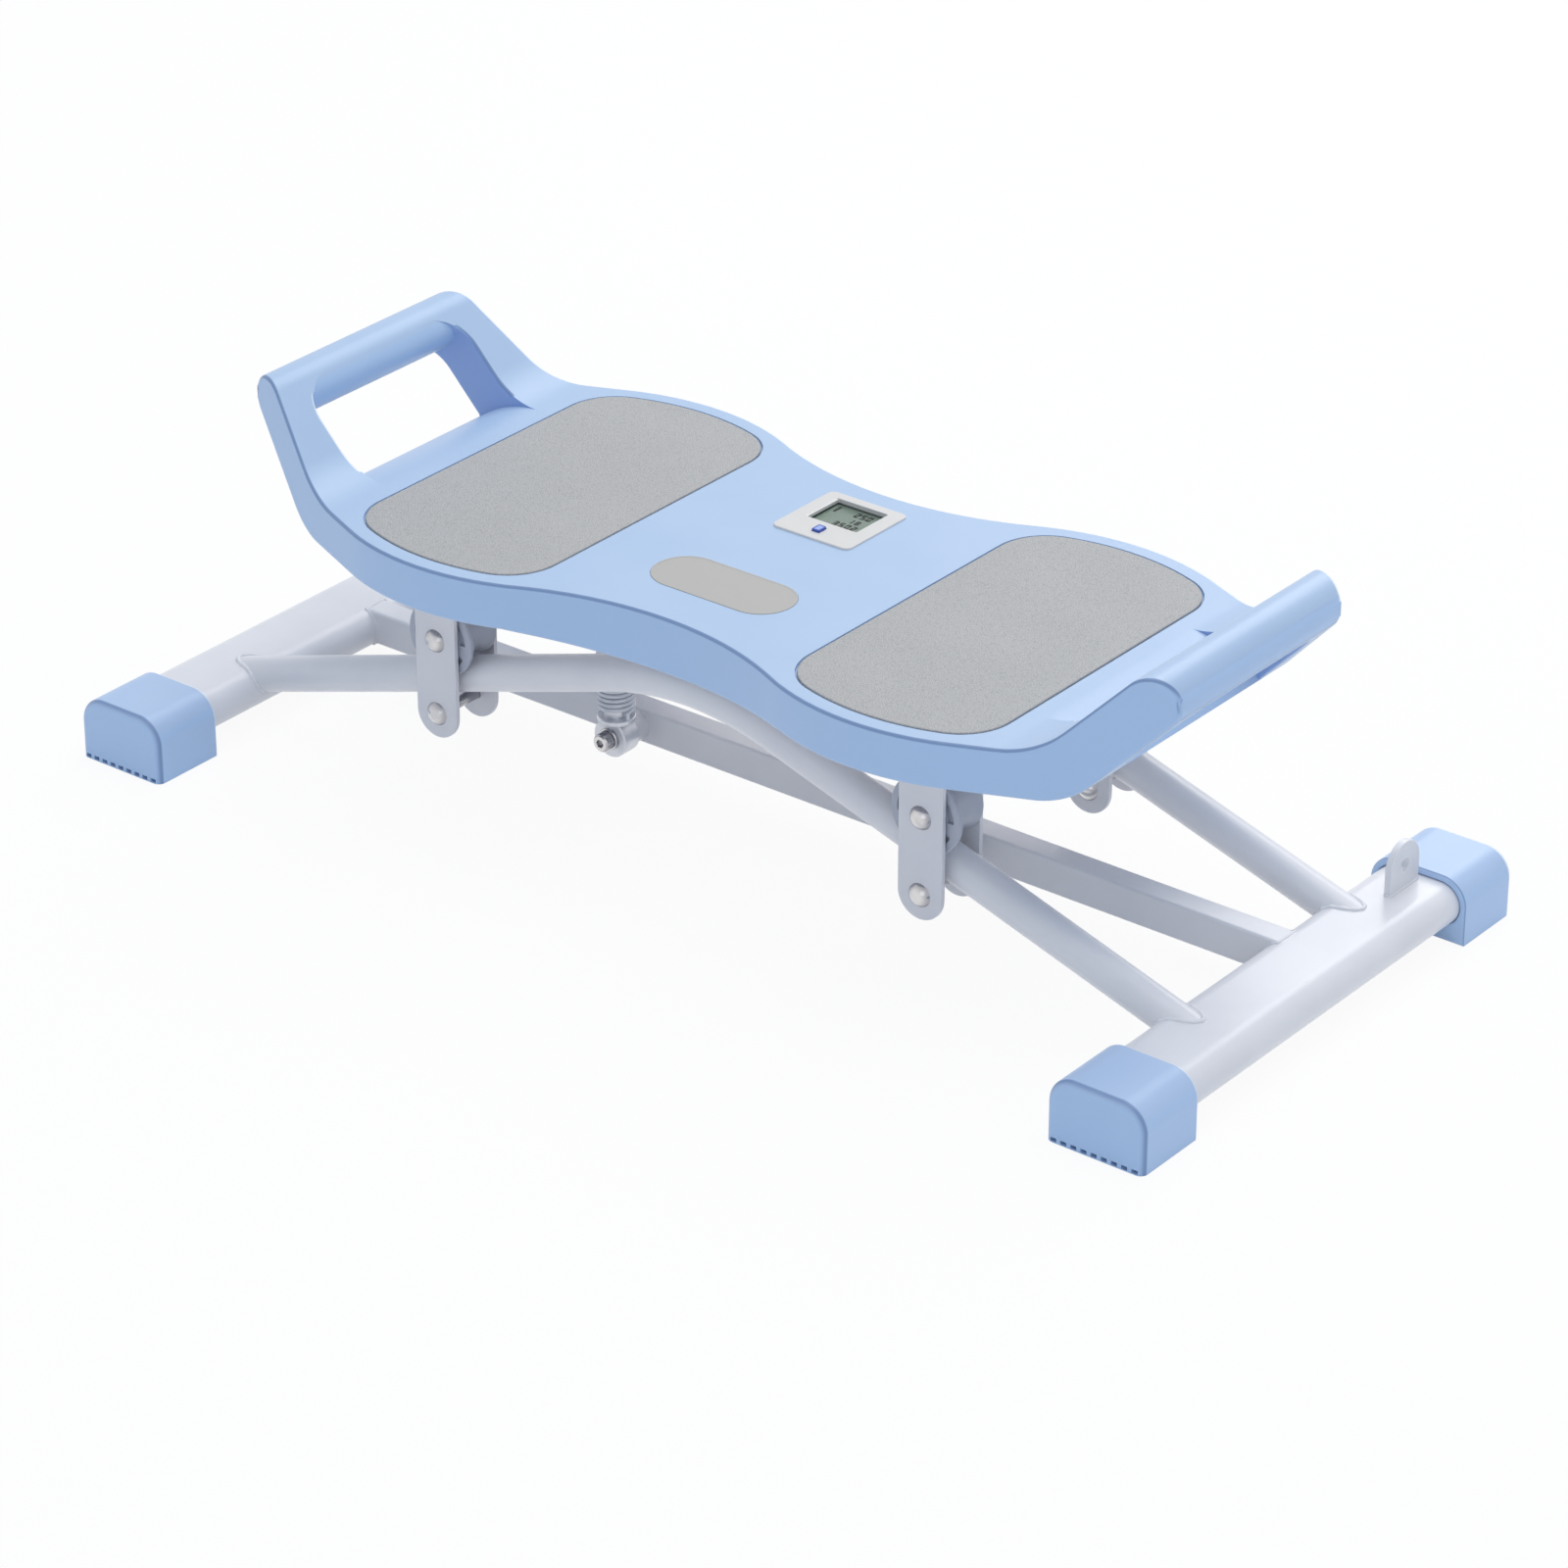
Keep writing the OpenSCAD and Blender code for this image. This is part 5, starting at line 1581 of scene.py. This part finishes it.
@dataclass
class Deck:
    """The moulded deck: its outline, side view, hand openings, recesses and hollow underside.

    Attributes:
        crest_y: Half depth at the widest place, which lies at crest_x.
        taper: Angle at which the sides draw in towards the ends; slope is that of the ramps.
        grip: Middle of the right grip, seen from the front; grip_skin is left on it by the tool.
        opening: Start of a hand opening along X, half its width, and its corner radius.
        roll_r: Radius of an opening's rolled edge, whose highest point is at roll_x.
        opening_edge: Rounding of the openings from fade_x past the roll to fade_reach up the ramp.
    """

    top: float = 207
    bottom: float = 174
    belly_z: float = 166.5
    belly_half: float = 115
    waist_y: float = 119
    crest_y: float = 160
    crest_x: float = 180
    waist_r: float = 243
    taper: float = 23.3
    end_r: float = 4
    slope: float = 46.4
    grip: Point = (364.1, 249.9)
    grip_r: float = 18
    grip_skin: float = 0.03
    ramp_top_r: float = 55
    ramp_bottom_r: float = 45
    wall: float = 4
    skin: float = 6.2
    hollow_half: float = 262
    opening: Tuple[float, float, float] = (277, 79, 30)
    roll_r: float = 85
    roll_x: float = 273.6
    roll_lift: float = 0.02
    soft_edge: float = 2.6
    opening_edge: float = 2.4
    fade_x: float = 22
    fade_reach: float = 82
    base_top: float = 179
    boss_r: float = 6
    screws: Sequence[Point] = ((30, 0), (90, 60), (90, -60), (245, 0), (240, 95), (240, -95))
    crest_r: float = field(init=False)
    crest_c: float = field(init=False)

    def __post_init__(self) -> None:
        """Works out the crest circle, which touches the waist circle."""
        rise = self.crest_y - self.waist_y
        self.crest_r = (self.crest_x ** 2 + rise ** 2) / (2 * rise) - self.waist_r
        self.crest_c = self.crest_y - self.crest_r

    def plan(self, inset: float) -> List[Point]:
        """Outline from above, drawn in by a distance.

        Args:
            inset: The distance.

        Returns:
            The outline.
        """
        lean, r = math.radians(self.taper), self.crest_r - inset
        touch = (self.crest_x + r * math.sin(lean), self.crest_c + r * math.cos(lean))
        tip_x = self.grip[0] + self.grip_r - inset - self.end_r
        tip_y = touch[1] - (tip_x - touch[0]) * math.tan(lean) - self.end_r / math.cos(lean)
        turn = math.degrees(math.asin(self.crest_x / (self.waist_r + self.crest_r)))
        quarter = arc((tip_x, tip_y), self.end_r, 0, 90 - self.taper, 10)
        quarter += arc((self.crest_x, self.crest_c), r, 90 - self.taper, 90 + turn, 40)
        waist = (0, self.waist_y + self.waist_r)
        quarter += arc(waist, self.waist_r + inset, -90 + turn, -90, 20)[1:]
        half = quarter + [(-x, y) for x, y in quarter[-2::-1]]
        return half + [(x, -y) for x, y in half[::-1]]

    def side_view(self) -> List[Point]:
        """Outline from the front: belly, ramps and round grips.

        Returns:
            The outline.
        """
        a, ramp, fall = math.radians(self.slope), self.ramp_top_r, self.ramp_bottom_r
        dx, dz = self.grip_r * math.sin(a), self.grip_r * math.cos(a)
        over = (self.grip[0] - dx, self.grip[1] + dz)
        under = (self.grip[0] + dx, self.grip[1] - dz)
        top_x = over[0] - (over[1] - self.top) / math.tan(a) - ramp * math.tan(a / 2)
        low_x = under[0] - (under[1] - self.bottom) / math.tan(a) - fall * math.tan(a / 2)
        drop = self.bottom - self.belly_z
        belly_r = (self.belly_half ** 2 + drop ** 2) / (2 * drop)
        spread = math.degrees(math.asin(self.belly_half / belly_r))
        half = arc((top_x, self.top + ramp), ramp, -90, self.slope - 90, 18)
        half += arc(self.grip, self.grip_r, 90 + self.slope, self.slope - 90, 40)
        half += arc((low_x, self.bottom + fall), fall, self.slope - 90, -90, 16)
        half += arc((0, self.belly_z + belly_r), belly_r, spread - 90, -90, 16)
        return [(-x, z) for x, z in half[-2::-1]] + half

    def opening_tool(self) -> Form:
        """What the right opening takes away: a slanted slot, less the rolled edge and the grip.

        Returns:
            The tool.
        """
        start, half, r = self.opening
        behind, deep, wide, high = 40, 100, 120, 500
        a = math.radians(self.slope)
        length = (self.grip[0] - start) * math.cos(a) + (self.grip[1] - self.top) * math.sin(a)
        outline = [(-behind, -half)] + arc((length - r, r - half), r, -90, 0, 20)
        outline += arc((length - r, half - r), r, 0, 90, 20) + [(-behind, half)]
        slot = Form.slab(outline, Axis.Z, -deep, deep)
        slot.moved(Matrix.Translation((start, 0, self.top)) @ Matrix.Rotation(-a, 4, "Y"))
        roll = (self.roll_x, self.top - self.roll_r + self.roll_lift)
        slot.cut(Form.slab(ring(roll, self.roll_r, 144, 90), Axis.Y, -wide, wide))
        slot.cut(Form.block((0, -wide, 0), (self.roll_x, wide, high)))
        bar = ring(self.grip, self.grip_r - self.grip_skin, 80, 90 + self.slope)
        return slot.cut(Form.slab(bar, Axis.Y, -wide, wide))

    def in_opening(self, point: Vector) -> bool:
        """Whether a point lies on the wall of a hand opening."""
        return abs(point.x) > self.roll_x - 1 and abs(point.y) < self.opening[1] + 0.05

    def opening_rim(self, edge: bmesh.types.BMEdge) -> bool:
        """Whether an edge is an opening's outer corner, away from where roll and grip begin.

        Args:
            edge: An edge of the shell.

        Returns:
            Whether it is rounded as the openings are.
        """
        a = math.radians(self.slope)
        first, second = (v.co for v in edge.verts)
        if not edge.is_convex or not (self.in_opening(first) and self.in_opening(second)):
            return False
        reach = max((abs(p.x) - self.opening[0]) * math.cos(a) + (p.z - self.top) * math.sin(a)
                    for p in (first, second))
        across = abs(first.y - second.y) > self.opening[1]
        past_roll = min(abs(first.x), abs(second.x)) > self.roll_x + self.fade_x
        return past_roll and not across and reach < self.fade_reach

    def outer_rim(self, edge: bmesh.types.BMEdge) -> bool:
        """Whether an edge belongs to the deck's outline."""
        return not all(self.in_opening(v.co) for v in edge.verts)

    def hollow_tool(self) -> Form:
        """What the underside's hollow takes away, less the screw bosses.

        Returns:
            The tool.
        """
        roof, reach, low, wide = self.top - self.skin, self.hollow_half, 100, 200
        tool = Form.slab(self.plan(self.wall), Axis.Z, low, roof)
        tool.cut(Form.block((-reach, -wide, low - 10), (reach, wide, roof + 10)), Cut.KEEP)
        for side in Side:
            for x, y in self.screws:
                boss = ring((side.value * x, y), self.boss_r, 24)
                tool.cut(Form.slab(boss, Axis.Z, self.base_top, roof + 5))
        return tool

    def build(self, recesses: Sequence[Form]) -> None:
        """Makes the shell.

        Args:
            recesses: Tools that sink the treads, the badge and the counter into the top.
        """
        form = Form.slab(self.side_view(), Axis.Y, -self.crest_y - 1, self.crest_y + 1)
        form.cut(Form.slab(self.plan(0), Axis.Z, 0, 400), Cut.KEEP)
        tool = self.opening_tool()
        form.cut(tool)
        form.cut(tool.mirrored(x=True))
        form.eased(self.soft_edge, 5, clamp=False, where=self.outer_rim)
        form.eased(self.opening_edge, 4, clamp=False, where=self.opening_rim)
        form.tidied(0.01)
        form.cut(self.hollow_tool())
        for recess in recesses:
            form.cut(recess)
        settle(form, "deck_moulding", DECK_BLUE, "deck_shell", ["deck_shell"], 45)
        dress(BRACKET_GREY, "base_plate")
        dress(ZINC, "deck_screws")


@dataclass
class FootTread:
    """A grained rubber tread in its recess, with a groove round it."""

    deck: Deck
    inner_x: float = 106.5
    outer_x: float = 261
    inset: float = 14
    corner: float = 38
    thick: float = 3
    sunk: float = 2.5
    groove: float = 1.5

    def outline(self, grow: float) -> List[Point]:
        """The right tread's outline, grown by a distance.

        Args:
            grow: The distance.

        Returns:
            The outline.
        """
        r, big = self.corner + grow, self.deck.crest_r - self.inset + grow
        cx, cy = self.deck.crest_x, self.deck.crest_c
        corners = []
        for x in (self.outer_x + grow - r, self.inner_x - grow + r):
            y = cy + math.sqrt((big - r) ** 2 - (x - cx) ** 2)
            corners.append(((x, y), math.degrees(math.atan2(y - cy, x - cx))))
        (outer, first), (inner, last) = corners
        half = arc(outer, r, 0, first, 12) + arc((cx, cy), big, first, last, 40)[1:-1]
        half += arc(inner, r, last, 180, 12)
        return half + [(x, -y) for x, y in half[::-1]]

    def recess(self) -> Form:
        """The right tread's recess tool."""
        top = self.deck.top
        return Form.slab(self.outline(self.groove), Axis.Z, top - self.sunk, top + 60)

    def build(self) -> None:
        """Makes both treads, rounded at the rim."""
        low = self.deck.top - self.sunk
        master = Form.slab(self.outline(0), Axis.Z, low, low + self.thick)
        master.eased(0.9, 4, 60, where=beyond(Axis.Z, low + 1))
        for side in Side:
            form = master.mirrored(x=side is Side.LEFT)
            cover(form, f"{side.tag}_foot_pad", "tread", PAD_GREY)


@dataclass
class Badge:
    """The bare pill-shaped inlay, with a fine raised border."""

    deck: Deck
    length: float = 110
    width: float = 48
    y: float = -57
    thick: float = 1.6
    sunk: float = 1.2
    border: float = 1.6
    border_rise: float = 0.1

    def outline(self, grow: float) -> List[Point]:
        """The pill, grown by a distance."""
        reach, r = (self.length - self.width) / 2, self.width / 2 + grow
        return arc((reach, self.y), r, -90, 90, 32) + arc((-reach, self.y), r, 90, 270, 32)

    def recess(self) -> Form:
        """Its recess tool."""
        return Form.slab(self.outline(0.2), Axis.Z, self.deck.top - self.sunk, self.deck.top + 60)

    def build(self) -> None:
        """Makes the inlay, a little lower inside its border."""
        low = self.deck.top - self.sunk
        high = low + self.thick
        form = Form.slab(self.outline(0), Axis.Z, low, high)
        form.eased(0.35, 3, 60, where=beyond(Axis.Z, low + 0.5))
        form.cut(Form.slab(self.outline(-self.border), Axis.Z, high - self.border_rise, low + 20))
        settle(form, "badge_plate", BADGE_GREY, "badge_inlay", ["badge_inlay"])


@dataclass
class Counter:
    """The counter: case, sunk window, display with plain numbers, and its button.

    Attributes:
        flare: How far the window's left side leans outwards.
        button: Width, length and rise of the button.
        rows: The numbers: text, left and lower edge from the window's middle, height and pitch.
        stroke: The bar beside them: middle from the window's middle, width and length.
        bars: Width of a figure, width of its bars and gap between them, as shares of its height.
        segments: Which of the seven bars each figure shows.
    """

    deck: Deck
    width: float = 65
    length: float = 67.5
    y: float = 66.2
    corner: float = 5.5
    rise: float = 1.5
    face: float = 3
    rim: float = 2.5
    case_wall: float = 1.8
    case_depth: float = 19
    window: Point = (42, 35)
    window_y: float = 74.45
    flare: float = 2.0
    button: Tuple[float, float, float] = (6.5, 8.5, 1.6)
    button_at: Point = (-1.2, 45.25)
    button_foot: float = 202.2
    display_top: float = 204.1
    ink: float = 0.1
    rows: Sequence[Tuple[str, float, float, float, float]] = (
        ("250", -1.6, 7.4, 7.0, 4.9), ("18", 0.8, -1.9, 6.0, 5.2), ("3502", -6.2, -10.4, 6.6, 5.0))
    stroke: Tuple[float, float, float, float] = (-16.6, 10.8, 2.3, 8.6)
    bars: Tuple[float, float, float] = (0.58, 0.23, 0.005)
    segments: Dict[str, str] = field(default_factory=lambda: {
        "0": "abcdef", "1": "bc", "2": "abged", "3": "abgcd", "5": "afgcd", "8": "abcdefg"})

    @property
    def top(self) -> float:
        """Height of the rim."""
        return self.deck.top + self.rise

    def recess(self) -> Form:
        """The hole that the case passes through.

        Returns:
            The tool that makes the hole.
        """
        size = (self.width - 2 * self.rim + 0.4, self.length - 2 * self.rim + 0.4)
        low = self.deck.top - self.deck.skin - 1
        return Form.tile(size, self.corner, (0, self.y), low, 260)

    def bezel(self) -> None:
        """The case: rim, face with its window and button holes, and hollow skirt."""
        deck_top, top, middle = self.deck.top, self.top, (0, self.y)
        foot, under, window_at = deck_top - self.case_depth, top - self.face, (0, self.window_y)
        form = Form.tile((self.width, self.length), self.corner, middle, deck_top, top)
        form.eased(0.9, 4, 60, where=beyond(Axis.Z, top - 0.01))
        w, l = self.width - 2 * self.rim, self.length - 2 * self.rim
        skirt = Form.tile((w, l), self.corner, middle, foot, deck_top + self.rise / 2)
        form.cut(skirt, Cut.JOIN)
        wall = self.case_wall
        hollow = (w - 2 * wall, l - 2 * wall)
        form.cut(Form.tile(hollow, self.corner - wall, middle, foot - 1, under))
        form.cut(Form.tile(self.window, 0.8, window_at, under - 1, top + 1))
        mouth = Form.tile(self.window, 0.8, window_at, top - 0.9, top + 0.1)
        left = [v for v in mouth.bm.verts if v.co.z > top and v.co.x < 0]
        bmesh.ops.translate(mouth.bm, verts=left, vec=(-self.flare, 0, 0))
        form.cut(mouth)
        hole = (self.button[0] + 0.5, self.button[1] + 0.5)
        form.cut(Form.tile(hole, 0.6, self.button_at, under - 1, top + 1))
        settle(form, "counter_face", BEZEL_WHITE, "counter_bezel", ["counter_bezel"], 40)

    def digit(self, figure: str, x: float, y: float, size: float) -> Form:
        """One figure of seven bars.

        Args:
            figure: The figure to show.
            x: Its left edge.
            y: Its lower edge.
            size: Its height.

        Returns:
            Its bars as thin slabs.
        """
        w, bar, gap = (size * share for share in self.bars)
        b = bar / 2
        left, middle, right = x + b, x + w / 2, x + w - b
        upper, lower = y + size * 0.75, y + size * 0.25
        spots = {"a": (middle, y + size - b), "d": (middle, y + b), "g": (middle, y + size / 2),
                 "f": (left, upper), "b": (right, upper), "e": (left, lower), "c": (right, lower)}
        whole = Form()
        for key in self.segments[figure]:
            (cx, cy), flat = spots[key], key in "adg"
            half = (w / 2 if flat else size / 4) - gap
            flank = half - b
            ends = [(half, 0), (flank, b), (-flank, b), (-half, 0), (-flank, -b), (flank, -b)]
            outline = [(cx + (p if flat else -q), cy + (q if flat else p)) for p, q in ends]
            low = self.display_top
            whole.take_in(Form.slab(outline, Axis.Z, low, low + self.ink))
        return whole

    def figures(self) -> None:
        """Plain numbers on the display."""
        whole = Form()
        for text, x, y, size, pitch in self.rows:
            for i, figure in enumerate(text):
                whole.take_in(self.digit(figure, x + i * pitch, self.window_y + y, size))
        x, y, *size = self.stroke
        low = self.display_top
        whole.take_in(Form.tile(size, 0.5, (x, self.window_y + y), low, low + self.ink, 3))
        settle(whole, "counter_figures", INK, "counter_display")

    def push_button(self) -> None:
        """The button: a dark cap on a skirt, with a paler inlay in its dish."""
        w, l, rise = self.button
        top, lip = self.top + rise, self.top - self.face - 0.2

        def layer(wider: float, radius: float, low: float, high: float) -> Form:
            """A slab about the button's middle, wider than the button by an amount."""
            return Form.tile((w + wider, l + wider), radius, self.button_at, low, high, 6)

        cap = layer(0, 1.0, top - 1.9, top)
        cap.eased(0.45, 3, 60, where=beyond(Axis.Z, top - 0.01))
        cap.cut(layer(-2.2, 0.7, top - 0.3, top + 1))
        inlay = layer(-2.3, 0.6, top - 0.28, top - 0.1)
        skirt = layer(-0.02, 1.0, self.button_foot, top - 1.92)
        skirt.cut(layer(2, 0.8, lip - 1, lip), Cut.JOIN)
        for kind, form, finish in (("cap", cap, BUTTON_EDGE), ("inlay", inlay, BUTTON_BLUE),
                                   ("skirt", skirt, BUTTON_EDGE)):
            cover(form, "counter_button", kind, finish, 40)

    def build(self) -> None:
        """Makes the visible pieces and dresses what lies inside."""
        self.bezel()
        self.figures()
        self.push_button()
        for finish, name in ((PANE, "window"), (SCREEN, "display"), (BOARD_GREEN, "board"),
                             (ZINC, "battery"), (BEZEL_WHITE, "back")):
            dress(finish, f"counter_{name}")


@dataclass(frozen=True)
class Lamp:
    """A square soft lamp, turned from its place to what it aims at."""

    name: str
    place: Tuple[float, float, float]
    aim: Tuple[float, float, float]
    size: float
    power: float
    colour: Rgb


@dataclass
class Studio:
    """Pale floor, soft light and the photograph's camera, in metres.

    Attributes:
        eye: Where the camera stands, turned towards aim.
        lit: Share of the floor's whiteness that doesn't depend on light.
    """

    eye: Tuple[float, float, float] = (2.1181, -2.6832, 1.8490)
    aim: Tuple[float, float, float] = (0.010093, -0.006636, 0.042831)
    lens: float = 132.27
    sky: float = 0.54
    sky_tone: Rgba = (0.76, 0.86, 1.0, 1)
    lit: float = 0.93
    lamps: Sequence[Lamp] = (
        Lamp("overhead", (0.3, 0.6, 4.0), (0, 0, 0), 3.4, 68.0, (1.0, 0.985, 0.955)),
        Lamp("rear", (-0.6, 2.8, 2.2), (0, 0, 0.1), 1.8, 32.0, (1.0, 0.98, 0.95)),
        Lamp("front", (1.6, -2.6, 1.2), (0, 0, 0.1), 1.8, 5.0, (0.86, 0.93, 1.0)))

    def stand(self, name: str, data: bpy.types.ID, place: Sequence[float],
              aim: Sequence[float]) -> bpy.types.Object:
        """Puts a camera or a lamp in its place, turned towards a point.

        Args:
            name: Its name.
            data: The camera or the lamp.
            place: Where it stands.
            aim: The point.

        Returns:
            The object.
        """
        obj = bpy.data.objects.new(name, data)
        obj.location = place
        obj.rotation_mode = "QUATERNION"
        obj.rotation_quaternion = (Vector(aim) - Vector(place)).to_track_quat("-Z", "Y")
        bpy.context.scene.collection.objects.link(obj)
        return obj

    def camera(self) -> None:
        """A camera at the photograph's angle."""
        data = bpy.data.cameras.new("camera")
        data.lens, data.sensor_width = self.lens, 36.0
        bpy.context.scene.camera = self.stand("camera", data, self.eye, self.aim)

    def seen(self, board: Board) -> Wire:
        """One for camera, glossy and transmission rays.

        Args:
            board: The tree that the nodes are added to.

        Returns:
            The value.
        """
        rays = [board.take("ShaderNodeLightPath", output=name)
                for name in ("Is Camera Ray", "Is Glossy Ray", "Is Transmission Ray")]
        return board.take("ShaderNodeMath", {0: rays[0] + rays[1], 1: rays[2]},
                          operation="ADD", use_clamp=True)

    def floor(self) -> None:
        """A wide pale floor that keeps the object's shadow."""
        bm = bmesh.new()
        bmesh.ops.create_circle(bm, cap_ends=True, radius=9.0, segments=64)
        mesh = bpy.data.meshes.new("floor")
        bm.to_mesh(mesh)
        bm.free()
        obj = bpy.data.objects.new("floor", mesh)
        obj.location.z = -0.0006
        bpy.context.scene.collection.objects.link(obj)
        board = Board(bpy.data.materials.new("floor_paper"))
        grain = board.noise(board.place(), 40, 3)
        tone = board.blend(grain, (0.93, 0.935, 0.94, 1), (0.95, 0.955, 0.96, 1))
        paper = board.take("ShaderNodeBsdfDiffuse", {"Color": tone})
        glow = board.shine("ShaderNodeEmission", WHITE, 1.0)
        share = self.seen(board) * self.lit
        mixed = board.take("ShaderNodeMixShader", {0: share, 1: paper, 2: glow})
        board.add("ShaderNodeOutputMaterial", {"Surface": mixed})
        mesh.materials.append(board.owner)

    def world(self) -> None:
        """White where it is seen, and a soft even sky for light."""
        world = bpy.data.worlds.new("studio")
        bpy.context.scene.world = world
        board = Board(world)
        sky = board.shine("ShaderNodeBackground", self.sky_tone, self.sky)
        white = board.shine("ShaderNodeBackground", WHITE, 1.0)
        mixed = board.take("ShaderNodeMixShader", {0: self.seen(board), 1: sky, 2: white})
        board.add("ShaderNodeOutputWorld", {"Surface": mixed})

    def build(self) -> None:
        """Sets up camera, floor and light, with the view at its plain settings."""
        bpy.context.scene.view_settings.view_transform = "Standard"
        self.camera()
        self.floor()
        self.world()
        for lamp in self.lamps:
            data = bpy.data.lights.new(lamp.name, "AREA")
            data.shape, data.size, data.energy = "SQUARE", lamp.size, lamp.power
            data.color = lamp.colour
            self.stand(lamp.name, data, lamp.place, lamp.aim)


def main() -> None:
    """Builds the studio and every sub-assembly in order."""
    logging.basicConfig(level=logging.INFO, format="%(name)s: %(message)s")
    Studio().build()
    chassis = Chassis()
    chassis.build()
    EndCap(chassis).build()
    Trolley().build()
    for side in Side:
        ReturnSpring(side).build()
    SpringFixings(ReturnSpring(Side.RIGHT)).build()
    deck = Deck()
    tread, badge, counter = FootTread(deck), Badge(deck), Counter(deck)
    pad = tread.recess()
    deck.build([pad, pad.mirrored(x=True), badge.recess(), counter.recess()])
    for piece in (tread, badge, counter):
        piece.build()


if __name__ == "__main__":
    main()
